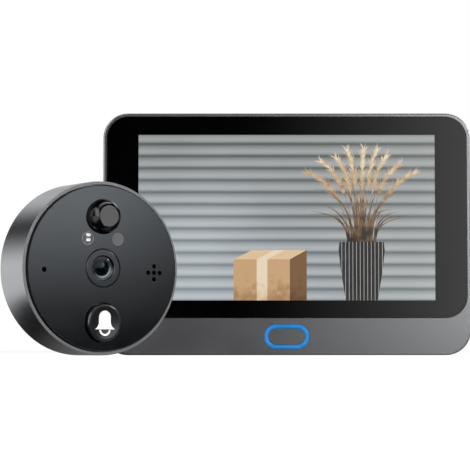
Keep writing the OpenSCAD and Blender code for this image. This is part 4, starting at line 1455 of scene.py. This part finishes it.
@dataclass
class MonitorCase(SubAssembly):
    """Front frame, rear cover, home button, sockets and bracket."""

    ring_mid: float = 3.275
    ring_half_band: float = 0.625
    ring_straight: float = 3.3
    ring_front: float = 16.5
    ring_foot: float = 12.65
    ring_dome: float = 0.45
    home_y: float = 5.9
    strip: Point = (4.4, 0.34)
    strip_depths: Point = (10.52, 10.57)
    strip_pitch: float = 0.66
    pin: float = 0.5
    pin_depths: Point = (3.0, 5.6)
    pin_pitch: float = 1.1

    def build(self) -> None:
        """Builds the rounded light ring and the sockets' contacts."""
        self.build_ring()
        self.build_contacts()

    def build_ring(self) -> None:
        """Builds the light ring as a rounded bead, turned as a round ring and then drawn out."""
        inner, outer = self.ring_mid - self.ring_half_band, self.ring_mid + self.ring_half_band
        spring, flatten = self.ring_front - self.ring_dome, self.ring_dome / self.ring_half_band
        crown = arc((self.ring_mid, spring), self.ring_half_band, 180, 0, 15)
        squat = [(radius, spring + (depth - spring) * flatten) for radius, depth in crown]
        profile = [(inner, self.ring_foot), *squat, (outer, self.ring_foot), (inner, self.ring_foot)]
        ring = Workpiece.lathe("light_ring_bead", profile, 98)
        ring.draw_out(self.ring_straight).shift((0, self.home_y, 0))
        ring.seat(Seat.MONITOR, "monitor", "ring_blue", RING_BLUE, ("button_light_ring",))

    def build_contacts(self) -> None:
        """Builds the gilt contacts on the charging socket's tongue and in the ribbon socket."""
        strip = Workpiece.plate("charge_contacts", self.strip, 0.08, self.strip_depths, (55.0, 34.95))
        strip.soften(lambda e: min(v.co.z for v in e.verts) > self.strip_depths[1] - 0.01, 0.015, 1)
        strip.copies([(0, self.strip_pitch * i, 0) for i in range(1, 8)])
        strip.seat(Seat.MONITOR, "monitor", "stud_brass", STUD_BRASS)
        pin = Workpiece.plate("ribbon_contacts", (self.pin, self.pin), 0.1, self.pin_depths, (-4.4, 31.0))
        pin.soften(lambda e: max(v.co.z for v in e.verts) < self.pin_depths[0] + 0.001, 0.12, 2)
        pin.copies([(self.pin_pitch * i, 0, 0) for i in range(1, 9)])
        pin.seat(Seat.MONITOR, "monitor", "stud_brass", STUD_BRASS)

    def dress(self) -> None:
        """Dresses the case, its buttons, its sockets and the bracket."""
        dress(CASE_PAINT, "front_frame", "home_button")
        dress(COVER_GRAIN, "rear_cover")
        dress(BRACKET_STEEL, "door_bracket")
        dress(STEEL, "case_screws", "board_screws", "charge_socket", "card_slot")
        dress(STEEL, "processor_shield", "monitor_microphone")
        dress(PART_BLACK, "power_slider", "power_switch_base", "home_switch", "battery_pad", "chime_speaker")
        dress(CREAM_NYLON, "ribbon_socket")
        dress(BOARD, "main_board", "button_board", "wireless_module")
        dress(BATTERY_FOIL, "battery_pack")


# Door camera


@dataclass
class CameraShell(SubAssembly):
    """Housing, front panel, rear plate and what is fixed inside them."""

    def dress(self) -> None:
        """Dresses the shell and the pieces inside it."""
        dress(HOUSING_METAL, "camera_housing")
        dress(PANEL_SATIN, "front_panel")
        dress(COVER_GRAIN, "rear_plate")
        dress(STEEL, "motion_sensor", "camera_board_screws", "rear_plate_screws")
        dress(STEEL_COATED, "camera_microphone", "speaker_mesh")
        dress(PART_BLACK, "lens_holder", "bell_switch", "camera_speaker", "light_sensor")
        dress(BOARD, "camera_board")
        dress(CREAM_NYLON, "cable_connector")
        dress(SENSOR_DARK, "image_sensor")


@dataclass
class MotionEye(SubAssembly):
    """Domed lens of the motion sensor: a gloss shoulder round a milky window."""

    centre: Point = (0.0, 15.67)
    radius: float = 5.3
    flange: float = 5.9
    foot: float = 14.2
    panel_back: float = 15.2
    top: float = 20.9
    flat: float = 3.4
    shoulder: float = 5.194
    skin: float = 0.8
    groove: float = 0.12

    def build(self) -> None:
        """Builds the dome and the window let into its top."""
        mid_x = self.radius - self.shoulder
        mid_z = self.top - math.sqrt(self.shoulder**2 - (self.flat - mid_x) ** 2)
        end = math.degrees(math.acos((self.flat - mid_x) / self.shoulder))
        inner = self.radius - self.skin
        seat = self.flat - 0.1
        profile = [
            (inner, self.foot),
            (self.flange, self.foot),
            (self.flange, self.panel_back),
            (self.radius, self.panel_back),
            *arc((mid_x, mid_z), self.shoulder, 0, end, 22),
            (seat, self.top - 0.03),
            (seat, self.top - 2 * self.groove),
            (0.0, self.top - 2 * self.groove),
            (0.0, self.top - self.skin),
            (self.flat - 0.4, self.top - self.skin),
            (inner, mid_z),
            (inner, self.foot),
        ]
        dome = Workpiece.lathe("motion_dome", profile, 128, self.centre)
        dome.seat(Seat.CAMERA, "camera", "dome_black", DOME_GLOSS, ("motion_lens",), 25)
        rim = seat - 0.1
        base = self.top - 2 * self.groove + 0.01
        face = self.top - 0.02
        disc = [
            (0.0, base),
            (rim, base),
            (rim, face - 0.08),
            (rim - 0.02, face - 0.03),
            (rim - 0.08, face),
            (0.0, face),
        ]
        window = Workpiece.lathe("motion_window", disc, 96, self.centre)
        window.seat(Seat.CAMERA, "camera", "dome_black", MOTION_WINDOW)


@dataclass
class LensUnit(SubAssembly):
    """The camera's lens: bezel, barrel, satin cone, front glass and the element behind it."""

    face: float = 16.9
    panel_back: float = 15.2
    bezel: float = 5.9
    bezel_in: float = 4.35
    flange: float = 6.35
    barrel: float = 4.15
    barrel_top: float = 16.1
    barrel_foot: float = 10.1
    seat: float = 14.9
    glass: float = 3.6
    crown: float = 0.4
    glass_edge: float = 16.45
    ledge: float = 3.02
    shell: float = 0.4
    bore: float = 2.16
    pupil: float = 2.4
    pupil_top: float = 15.95
    lip: float = 3.85
    mouth: float = 0.12
    groove: float = 0.3
    groove_deep: float = 0.7
    inner_core: float = 1.15
    inner_ball: float = 6.0
    inner_bead: float = 3.2

    def build(self) -> None:
        """Builds the seven pieces of the lens."""
        self.build_bezel()
        self.build_seal()
        self.build_barrel()
        self.build_retainer()
        self.build_cone()
        self.build_glass()
        self.build_inner()

    def build_bezel(self) -> None:
        """Builds the bezel: a groove round a flat rim with soft edges, and a mouth down to the barrel."""
        foot = self.panel_back - 0.6
        rim = self.bezel - self.groove
        soft = 0.1
        profile = [
            (self.bezel_in, foot),
            (self.flange, foot),
            (self.flange, self.panel_back),
            (self.bezel, self.panel_back),
            (self.bezel, self.face - self.groove_deep),
            (rim, self.face - self.groove_deep),
            *arc((rim - soft, self.face - soft), soft, 0, 90, 5),
            *arc((self.lip + self.mouth, self.face - self.mouth), self.mouth, 90, 180, 9),
            (self.lip, self.barrel_top + 0.25),
            (self.bezel_in, self.barrel_top + 0.1),
            (self.bezel_in, foot),
        ]
        ring = Workpiece.lathe("lens_bezel_ring", profile, 112)
        ring.seat(Seat.CAMERA, "camera", "panel_grey", BEZEL_SATIN, ("lens_bezel",), 25)

    def build_seal(self) -> None:
        """Builds the black seal that fills the groove round the bezel's rim."""
        inner, outer = self.bezel - self.groove + 0.02, self.bezel - 0.02
        foot, top, soft = self.face - self.groove_deep + 0.01, self.face - 0.05, 0.06
        profile = [
            (inner, foot), (outer, foot), (outer, top - soft), (outer - soft, top),
            (inner + soft, top), (inner, top - soft), (inner, foot),
        ]
        seal = Workpiece.lathe("lens_seal_ring", profile, 112)
        seal.seat(Seat.CAMERA, "camera", "part_black", PART_BLACK, (), 40)

    def build_barrel(self) -> None:
        """Builds the barrel, whose front has two fine grooves."""
        hold = self.glass + 0.05
        top = self.barrel_top
        profile = [
            (self.bore, self.barrel_foot),
            (self.barrel, self.barrel_foot),
            (self.barrel, top - 0.08),
            (self.barrel - 0.08, top),
            (self.barrel - 0.18, top),
            (self.barrel - 0.22, top - 0.06),
            (self.barrel - 0.28, top),
            (hold + 0.08, top),
            (hold, top - 0.1),
            (hold, self.seat),
            (self.bore, self.seat),
            (self.bore, self.barrel_foot),
        ]
        tube = Workpiece.lathe("lens_barrel_tube", profile, 112)
        tube.seat(Seat.CAMERA, "camera", "part_black", PART_BLACK, ("lens_barrel",), 25)

    def build_retainer(self) -> None:
        """Builds the flat ring that holds the cone in the barrel and carries the front glass."""
        outer, foot, top, soft = self.glass + 0.03, self.seat + 0.02, self.barrel_top - 0.05, 0.05
        profile = [
            (self.ledge, foot), (outer, foot), (outer, top - soft), (outer - soft, top),
            (self.ledge + soft, top), (self.ledge, top - soft), (self.ledge, foot),
        ]
        ring = Workpiece.lathe("lens_retainer_ring", profile, 112)
        ring.seat(Seat.CAMERA, "camera", "panel_grey", BEZEL_SATIN, (), 25)

    def build_cone(self) -> None:
        """Builds the satin cone between the front glass and the bore, with fine steps against stray light."""
        foot, top, low = self.seat + 0.02, self.barrel_top - 0.1, self.pupil_top - 0.035
        outer, count = self.ledge - 0.02, 3
        steps: list[Point] = []
        for index in range(count):
            near, far = (outer + (self.pupil - outer) * (index + after) / count for after in (0, 1))
            start, end = (top + (low - top) * (index + after) / count for after in (0, 1))
            steps += [(near, start), (far + 0.02, end + 0.012)]
        profile = [(self.pupil, foot), (outer, foot), *steps, (self.pupil, foot)]
        cone = Workpiece.lathe("lens_cone_ring", profile, 112)
        cone.seat(Seat.CAMERA, "camera", "steel", LENS_CONE, (), 40)

    def build_glass(self) -> None:
        """Builds the front element, a shallow domed cap that stands on the cone."""
        ball = (self.glass**2 + self.crown**2) / (2 * self.crown)
        middle = self.glass_edge + self.crown - ball
        within, foot = self.glass - 0.25, self.barrel_top - 0.03
        reach = ball - self.shell
        hollow = arc((0.0, middle), reach, 90, math.degrees(math.acos(within / reach)), 20)
        dome = arc((0.0, middle), ball, math.degrees(math.acos(self.glass / ball)), 90, 20)
        profile = [
            (0.0, hollow[0][1]),
            *hollow[1:],
            (within, foot),
            (self.glass, foot),
            *dome[:-1],
            (0.0, dome[-1][1]),
        ]
        front = Workpiece.lathe("lens_front_element", profile, 112)
        front.seat(Seat.CAMERA, "camera", "lens_glass", LENS_FRONT, ("lens_glass",), 40)

    def build_inner(self) -> None:
        """Builds the coated element behind the front one, held in the cone."""
        radius, core = self.pupil - 0.02, self.inner_core
        ball, bead = self.inner_ball, self.inner_bead
        shares = (radius / ball, core / ball, core / bead)
        ends = [math.degrees(math.acos(share)) for share in shares]
        low = self.pupil_top - 0.35 - ball
        shoulder = arc((0.0, low), ball, ends[0], ends[1], 10)
        rise = shoulder[-1][1] - math.sqrt(bead**2 - core**2)
        cap = arc((0.0, rise), bead, ends[2], 90, 12)
        foot = self.seat + 0.03
        profile = [(0.0, foot), (radius, foot), *shoulder, *cap[1:-1], (0.0, rise + bead)]
        inner = Workpiece.lathe("lens_inner_element", profile, 80)
        inner.seat(Seat.CAMERA, "camera", "lens_glass", LENS_INNER, (), 25)


@dataclass
class SmallWindows(SubAssembly):
    """The lamp and the light sensor behind their round windows."""

    apart: float = 5.15
    up: float = 8.93
    radius: float = 2.05
    back: float = 15.2
    front: float = 16.85
    board: float = 8.3
    wall: float = 0.25
    roof: float = 0.2
    soft: float = 0.06
    lamp: float = 1.45
    lamp_top: float = 14.9
    cup_deep: float = 1.1
    chip: Point = (1.45, 0.82)
    chip_corner: float = 0.36
    chip_deep: float = 0.2
    chip_rise: float = 0.76
    chip_shift: Point = (0.28, 0.32)

    @property
    def middle(self) -> Point:
        """Returns the middle of the lamp's window."""
        return -self.apart, self.up

    @property
    def pane(self) -> float:
        """Returns the radius of the lamp's pane, which has a little play in its collar."""
        return self.radius - self.wall - 0.02

    @property
    def crest(self) -> float:
        """Returns the depth of the chips' fronts, just behind the pane."""
        return self.front - self.roof - 0.05

    def build(self) -> None:
        """Builds the lamp's collar, clear pane and cup, and the pillar in it with two glowing chips, whose
        glow is a painted highlight.
        """
        self.build_collar()
        self.build_pane()
        self.build_cup()
        self.build_pillar()
        self.build_chips()

    def build_collar(self) -> None:
        """Builds the collar round the lamp's pane, whose light grey is a painted highlight on the window's
        edge.
        """
        inner = self.radius - self.wall
        profile = [
            (inner, self.back),
            (self.radius, self.back),
            (self.radius, self.front - self.soft),
            (self.radius - self.soft, self.front),
            (inner + self.soft, self.front),
            (inner, self.front - self.soft),
            (inner, self.back),
        ]
        collar = Workpiece.lathe("lamp_collar", profile, 64, self.middle)
        collar.seat(Seat.CAMERA, "camera", "steel", LAMP_COLLAR_HIGHLIGHT, (), 25)

    def build_pane(self) -> None:
        """Builds the clear pane, with a rounded edge."""
        base, rim = self.front - self.roof, self.pane - self.soft
        profile = [
            (0.0, base),
            (self.pane, base),
            (self.pane, self.front - self.soft),
            *arc((rim, self.front - self.soft), self.soft, 15, 75, 4),
            (rim, self.front),
            (0.0, self.front),
        ]
        window = Workpiece.lathe("lamp_window_pane", profile, 64, self.middle)
        window.seat(Seat.CAMERA, "camera", "window_clear", WINDOW_CLEAR, ("lamp_window",), 25)

    def build_cup(self) -> None:
        """Builds the lamp's cup, which stands on the board."""
        top, foot = self.lamp_top, self.lamp + 0.35
        profile = [
            (0.0, self.board),
            (foot, self.board),
            (foot, self.board + 1.0),
            (self.lamp, self.board + 1.0),
            (self.lamp, top - 0.1),
            (self.lamp - 0.08, top),
            (self.lamp - 0.22, top),
            (self.lamp - 0.5, top - 0.9),
            (self.lamp - 0.62, top - self.cup_deep),
            (0.0, top - self.cup_deep),
        ]
        cup = Workpiece.lathe("lamp_cup", profile, 64, self.middle)
        cup.seat(Seat.CAMERA, "camera", "lamp_white", LAMP_CUP, ("lamp_led",), 25)

    def build_pillar(self) -> None:
        """Builds the pillar that carries the chips from the cup's floor up to the pane."""
        foot, head = self.lamp_top - self.cup_deep + 0.01, self.crest - self.chip_deep
        side = self.pane - 0.06
        profile = [
            (0.0, foot),
            (self.lamp - 0.66, foot),
            (self.lamp - 0.25, self.lamp_top - 0.05),
            (side, self.lamp_top + 0.4),
            (side, head - 0.06),
            (side - 0.06, head),
            (0.0, head),
        ]
        pillar = Workpiece.lathe("lamp_pillar", profile, 64, self.middle)
        pillar.seat(Seat.CAMERA, "camera", "lamp_white", LAMP_CUP)

    def build_chips(self) -> None:
        """Builds the two glowing chips, one above the other, whose glow is a painted highlight."""
        crest = self.crest
        depths = (crest - self.chip_deep, crest)
        upper = (self.middle[0] + self.chip_shift[0], self.middle[1] + self.chip_rise + self.chip_shift[1])
        chips = Workpiece.plate("lamp_chips", self.chip, self.chip_corner, depths, upper)
        chips.soften(lambda e: min(v.co.z for v in e.verts) > crest - 0.01, 0.12, 4)
        chips.copies([(0.0, -2 * self.chip_rise, 0.0)])
        chips.seat(Seat.CAMERA, "camera", "lamp_white", LAMP_CHIP_HIGHLIGHT)

    def dress(self) -> None:
        """Dresses the light sensor's window."""
        dress(WINDOW_GREY, "sensor_window")


@dataclass
class BellControl(SubAssembly):
    """The raised bell button and its sign."""

    def dress(self) -> None:
        """Dresses the button and the sign."""
        dress(BUTTON_SATIN, "bell_button")
        dress(SIGN_WHITE, "bell_symbol")


@dataclass
class DoorFixing(SubAssembly):
    """Threaded hollow stud, nut and gasket on the camera's back."""

    stud: float = 6.0
    core: float = 5.55
    end: float = -12.0
    neck: float = 6.4
    neck_end: float = -1.3
    plate_front: float = 1.9
    flange: float = 8.5
    flange_front: float = 3.2
    bore: float = 4.2
    pitch: float = 1.0
    nut_flats: float = 16.0
    nut_back: float = -1.3
    nut_front: float = 0.1
    nut_chamfer: float = 0.55

    def build(self) -> None:
        """Builds the stud with its thread, and the nut with its chamfers."""
        self.build_stud()
        self.build_nut()

    def build_stud(self) -> None:
        """Builds the stud as a turned tube, with a ridge wound round it for the thread."""
        profile = [
            (self.bore, self.flange_front),
            (self.flange - 0.2, self.flange_front),
            (self.flange, self.flange_front - 0.2),
            (self.flange, self.plate_front),
            (self.neck, self.plate_front),
            (self.neck, self.neck_end),
            (self.core, self.neck_end),
            (self.core, self.end + 0.15),
            (self.core - 0.15, self.end),
            (self.bore + 0.2, self.end),
            (self.bore, self.end + 0.2),
            (self.bore, self.flange_front),
        ]
        tube = Workpiece.lathe("threaded_stud", profile, 96)
        tube.join([self.wound_ridge()])
        tube.seat(Seat.CAMERA, "camera", "stud_brass", STUD_BRASS, ("fixing_stud",), 30)

    def wound_ridge(self) -> Workpiece:
        """Winds the thread's ridge from near the stud's end up to the nut.

        Returns:
            The ridge.
        """
        base, foot = self.core - 0.1, self.end + 0.5
        low, high = foot + 0.38 * self.pitch, foot + 0.5 * self.pitch
        top = foot + 0.88 * self.pitch
        tooth = [(base, 0, foot), (self.stud, 0, low), (self.stud, 0, high), (base, 0, top)]
        ridge = Workpiece.trace("stud_ridge", tooth)
        bpy.ops.mesh.edge_face_add()
        bpy.ops.object.mode_set(mode="OBJECT")
        wind = ridge.object.modifiers.new("wind", "SCREW")
        wind.axis, wind.angle, wind.screw_offset = "Z", FULL_TURN, self.pitch
        wind.iterations = int((self.neck_end - 0.6 - foot) / self.pitch)
        wind.steps = wind.render_steps = 64
        wind.use_normal_calculate = True
        bpy.ops.object.modifier_apply(modifier=wind.name)
        ridge.choose("verts", lambda v: True)
        bpy.ops.mesh.remove_doubles(threshold=WELD)
        bpy.ops.mesh.normals_make_consistent(inside=False)
        return ridge

    def build_nut(self) -> None:
        """Builds the hexagon nut, with its corners turned off at both faces."""
        clear_bench()
        corner = self.nut_flats / math.sqrt(3)
        height = self.nut_front - self.nut_back
        bpy.ops.mesh.primitive_cylinder_add(
            vertices=6, radius=corner, depth=height, location=(0, 0, (self.nut_front + self.nut_back) / 2)
        )
        bpy.ops.object.transform_apply(location=True, rotation=True, scale=True)
        nut = Workpiece("chamfered_nut", bpy.context.active_object)
        bpy.ops.object.mode_set(mode="EDIT")
        bpy.ops.mesh.select_all(action="SELECT")
        bpy.ops.transform.rotate(value=math.pi / 6, orient_axis="Z", center_override=(0, 0, 0))
        bpy.ops.object.mode_set(mode="OBJECT")
        flat, wide = self.nut_flats / 2 - 0.05, corner + 0.05
        blank = [
            (0.0, self.nut_back),
            (flat, self.nut_back),
            (wide, self.nut_back + self.nut_chamfer),
            (wide, self.nut_front - self.nut_chamfer),
            (flat, self.nut_front),
            (0.0, self.nut_front),
        ]
        nut.combine(Workpiece.lathe("nut_blank", blank, 96), "INTERSECT")
        hole, mouth = self.neck + 0.05, self.neck + 0.45
        drill = [
            (0.0, self.nut_back - 1),
            (mouth, self.nut_back - 1),
            (mouth, self.nut_back),
            (hole, self.nut_back + 0.4),
            (hole, self.nut_front + 1),
            (0.0, self.nut_front + 1),
        ]
        nut.combine(Workpiece.lathe("nut_hole", drill, 96), "DIFFERENCE")
        nut.seat(Seat.CAMERA, "camera", "steel", STEEL, ("stud_nut",), 25)

    def dress(self) -> None:
        """Dresses the gasket."""
        dress(GASKET_FOAM, "rear_gasket")


# Studio


class SeenBy(Enum):
    """Kinds of ray that see the surround and the floor each in their own way."""

    CAMERA = "Is Camera Ray"
    GLOSSY = "Is Glossy Ray"
    TRANSMISSION = "Is Transmission Ray"


@dataclass
class SoftBox:
    """A rectangular studio lamp that faces a point."""

    name: str
    place: Place
    target: Place
    size: Point
    radiance: float
    colour: Colour = (1.0, 1.0, 1.0)

    def build(self) -> None:
        """Builds the lamp, with the power that gives its face the radiance."""
        clear_bench()
        bpy.ops.object.light_add(type="AREA", location=self.place)
        lamp = bpy.context.active_object
        lamp.name = self.name
        way = Vector(self.target) - Vector(self.place)
        lamp.rotation_mode = "QUATERNION"
        lamp.rotation_quaternion = way.to_track_quat("-Z", "Y")
        lamp.data.shape = "RECTANGLE"
        lamp.data.size, lamp.data.size_y = self.size
        lamp.data.energy = self.radiance * self.size[0] * self.size[1] * math.pi
        lamp.data.color = self.colour
        lamp.visible_glossy = lamp.visible_transmission = False
        LOG.info("%s: %.2f W", self.name, lamp.data.energy)


def by_ray(tree: bpy.types.NodeTree, otherwise: Socket, choices: list[tuple[SeenBy, Socket]]) -> Socket:
    """Chooses a shader by the kind of ray.

    Args:
        tree: The node tree.
        otherwise: The shader for every other ray.
        choices: Kinds of ray and their shaders, of which a later one goes before an earlier one.

    Returns:
        The joined shader.
    """
    rays = tree.nodes.new("ShaderNodeLightPath")
    joined = otherwise
    for kind, shader in choices:
        mix = tree.nodes.new("ShaderNodeMixShader")
        for socket, source in zip(mix.inputs, (rays.outputs[kind.value], joined, shader)):
            tree.links.new(source, socket)
        joined = mix.outputs[0]
    return joined


@dataclass(frozen=True)
class WhiteCard:
    """A white card of the surround, which fades in between bounds along X, Y, Z or the slanted axis U."""

    radiance: float
    bounds: tuple[tuple[str, float, float], ...]

    def draw(self, tree: bpy.types.NodeTree, axes: dict[str, Socket]) -> Socket:
        """Draws the card.

        Args:
            tree: The world's node tree.
            axes: The direction's part along each axis.

        Returns:
            The card's light in each direction.
        """
        light: object = self.radiance
        for axis, start, end in self.bounds:
            light = join_numbers(tree, "MULTIPLY", eased_number(tree, axes[axis], (start, end)), light)
        return light


@dataclass(frozen=True)
class FloorGlow:
    """A patch of painted light on the floor, which metal and glass mirror, as a product of numbers eased
    along X and Y.
    """

    bounds: tuple[tuple[str, Point, Point], ...]

    def draw(self, tree: bpy.types.NodeTree, axes: dict[str, Socket]) -> Socket:
        """Draws the glow.

        Args:
            tree: The floor's node tree.
            axes: The place along each axis.

        Returns:
            The glow's light at each place.
        """
        light: object = 1.0
        for axis, ends, levels in self.bounds:
            light = join_numbers(tree, "MULTIPLY", eased_number(tree, axes[axis], ends, levels), light)
        return light


def sum_of(tree: bpy.types.NodeTree, start: float, parts: Iterable[Socket]) -> Socket:
    """Adds the parts to a start value.

    Args:
        tree: The node tree.
        start: The start value.
        parts: The parts.

    Returns:
        The sum.
    """
    total: object = start
    for part in parts:
        total = join_numbers(tree, "ADD", part, total)
    return total


@dataclass
class Studio:
    """Camera, lamps, pale floor and the light all round."""

    eye: Place = (-0.01654, -0.65348, 0.0015)
    pitch: float = 3.269
    lens: float = 154.85
    ambient: float = 0.3
    gloom: float = 0.005
    slant: float = 1.28
    floor_grey: float = 0.22
    floor_pale: float = 0.4
    floor_light: float = 0.82

    def build(self) -> None:
        """Builds the camera, the surround, the floor and the lamps."""
        bpy.context.scene.view_settings.view_transform = "Standard"
        self.build_camera()
        self.build_surround()
        self.build_floor()
        for box in self.lamps():
            box.build()

    def build_camera(self) -> None:
        """Builds the camera at the photograph's viewing angle."""
        clear_bench()
        bpy.ops.object.camera_add(location=self.eye, rotation=(math.radians(90 + self.pitch), 0, 0))
        camera = bpy.context.active_object
        camera.data.lens, camera.data.sensor_width = self.lens, 36.0
        camera.data.clip_start, camera.data.clip_end = 0.01, 50.0
        bpy.context.scene.camera = camera

    @staticmethod
    def lamps() -> list[SoftBox]:
        """Lists the lamps: a key at the right, one above and a strip at the left.

        Returns:
            The lamps.
        """
        return [
            SoftBox("key_box", (0.46, -0.72, 0.16), (0.0, 0.0, 0.03), (0.62, 0.5), 3.4),
            SoftBox("top_box", (-0.02, -0.05, 0.55), (-0.02, -0.02, 0.0), (0.5, 0.35), 1.6),
            SoftBox("left_strip", (-0.42, -0.55, 0.12), (-0.05, -0.03, 0.03), (0.1, 0.4), 2.2),
        ]

    @staticmethod
    def cards() -> list[WhiteCard]:
        """Lists the white cards that metal and glass mirror, by the direction in which each one lies.

        Returns:
            The cards.
        """
        return [
            WhiteCard(3.4, (("X", 0.0, 0.26), ("X", 0.55, 0.4), ("Y", 0.0, -0.2), ("Z", 0.5, 0.3))),
            WhiteCard(0.9, (("X", 0.56, 0.76), ("X", 0.905, 0.85), ("Z", 0.002, 0.092), ("Z", 0.8, 0.5))),
            WhiteCard(0.95, (("Y", 0.26, 0.45), ("Z", 0.405, 0.05))),
            WhiteCard(0.68, (("X", -0.66, -0.36), ("X", 0.02, -0.34), ("Y", 0.2, 0.5), ("Z", 0.75, 0.5))),
            WhiteCard(
                3.2,
                (
                    ("X", -0.33, -0.42),
                    ("X", -0.85, -0.6),
                    ("Y", 0.0, -0.3),
                    ("Z", -0.3, 0.0),
                    ("Z", 0.85, 0.6),
                ),
            ),
            WhiteCard(
                2.2,
                (
                    ("U", -0.25, -0.1),
                    ("U", 0.3, 0.15),
                    ("X", -0.5, -0.1),
                    ("X", 0.42, 0.36),
                    ("Z", 0.6, 0.75),
                ),
            ),
            WhiteCard(
                18.0,
                (
                    ("X", 0.8, 0.86),
                    ("Y", -0.3, -0.24),
                    ("Y", -0.07, -0.13),
                    ("Z", 0.26, 0.31),
                    ("Z", 0.48, 0.43),
                ),
            ),
        ]

    @staticmethod
    def glows() -> list[FloorGlow]:
        """Lists the light painted on the floor for metal and glass to mirror: behind the two units, between
        them and far to the left. Near the units the floor is left dark, as painted shadow.

        Returns:
            The glows.
        """
        behind = ("Y", (-0.022, 0.002), (0.02, 0.88))
        return [
            FloorGlow((behind, ("X", (-0.062, -0.072), (0.0, 1.0)))),
            FloorGlow((behind, ("X", (-0.05, 0.07), (0.0, 0.65)))),
            FloorGlow(
                (
                    ("X", (-0.088, -0.04), (0.0, 0.32)),
                    ("Y", (-0.02, -0.024), (0.0, 1.0)),
                    ("X", (-0.015, -0.03), (0.0, 1.0)),
                    ("Y", (-0.05, -0.042), (0.0, 1.0)),
                )
            ),
            FloorGlow((("X", (-0.08, -0.14), (0.0, 1.3)), ("Y", (-0.05, -0.09), (0.0, 1.0)))),
        ]

    def build_surround(self) -> None:
        """Builds the world: white to the camera, cards to metal and glass, and a soft light all round."""
        world = bpy.data.worlds.new("pale_surround")
        bpy.context.scene.world = world
        world.use_nodes = True
        tree = world.node_tree
        tree.nodes.clear()
        output = tree.nodes.new("ShaderNodeOutputWorld")
        plain, room, white = (tree.nodes.new("ShaderNodeBackground") for _ in range(3))
        plain.inputs["Strength"].default_value = self.ambient
        for shader in (plain, room, white):
            shader.inputs["Color"].default_value = (1, 1, 1, 1)
        axes = self.axes(tree, "Generated")
        aside = join_numbers(tree, "MULTIPLY", axes["X"], self.slant)
        axes["U"] = join_numbers(tree, "SUBTRACT", axes["Y"], aside)
        light = sum_of(tree, self.gloom, (card.draw(tree, axes) for card in self.cards()))
        tree.links.new(light, room.inputs["Strength"])
        choices = [(SeenBy.GLOSSY, room), (SeenBy.TRANSMISSION, room), (SeenBy.CAMERA, white)]
        seen = by_ray(tree, plain.outputs[0], [(kind, shader.outputs[0]) for kind, shader in choices])
        tree.links.new(seen, output.inputs["Surface"])

    @staticmethod
    def axes(tree: bpy.types.NodeTree, source: str) -> dict[str, Socket]:
        """Splits a coordinate of the node tree into X, Y and Z.

        Args:
            tree: The node tree.
            source: Name of the coordinate.

        Returns:
            The numbers by the axes' names.
        """
        parts = tree.nodes.new("ShaderNodeSeparateXYZ")
        tree.links.new(tree.nodes.new("ShaderNodeTexCoord").outputs[source], parts.inputs[0])
        return {axis: parts.outputs[axis] for axis in "XYZ"}

    def build_floor(self) -> None:
        """Builds the floor: pale to the camera, where it keeps the shadow, painted light and shadow to glossy
        and transmission rays, and grey to the other rays.
        """
        clear_bench()
        bpy.ops.mesh.primitive_plane_add(size=12.0, location=(0, 0, -0.05 * MM))
        floor = bpy.context.active_object
        floor.name = "studio_floor"
        made = bpy.data.materials.new("floor_paper")
        made.use_nodes = True
        tree = made.node_tree
        tree.nodes.clear()
        output = tree.nodes.new("ShaderNodeOutputMaterial")
        grey, pale = (tree.nodes.new("ShaderNodeBsdfDiffuse") for _ in range(2))
        mirrored, lit = (tree.nodes.new("ShaderNodeEmission") for _ in range(2))
        for paper, tone in ((grey, self.floor_grey), (pale, self.floor_pale)):
            paper.inputs["Color"].default_value = (tone, tone, tone, 1)
        lit.inputs["Strength"].default_value = self.floor_light
        axes = self.axes(tree, "Object")
        # Glossy and transmission rays see painted light on the floor, and painted shadow near the units,
        # where no glow is painted.
        light = sum_of(tree, 0.0, (glow.draw(tree, axes) for glow in self.glows()))
        tree.links.new(light, mirrored.inputs["Strength"])
        both = tree.nodes.new("ShaderNodeAddShader")
        tree.links.new(pale.outputs[0], both.inputs[0])
        tree.links.new(lit.outputs[0], both.inputs[1])
        choices = [(SeenBy.GLOSSY, mirrored), (SeenBy.TRANSMISSION, mirrored), (SeenBy.CAMERA, both)]
        seen = by_ray(tree, grey.outputs[0], [(kind, shader.outputs[0]) for kind, shader in choices])
        tree.links.new(seen, output.inputs["Surface"])
        floor.data.materials.append(made)


def main() -> None:
    """Builds the studio and every sub-assembly in order."""
    logging.basicConfig(level=logging.INFO, format="%(message)s")
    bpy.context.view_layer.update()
    Studio().build()
    units: list[SubAssembly] = [
        Screen(),
        MonitorCase(),
        CameraShell(),
        MotionEye(),
        LensUnit(),
        SmallWindows(),
        BellControl(),
        DoorFixing(),
    ]
    for unit in units:
        unit.build()
        unit.dress()


if __name__ == "__main__":
    main()
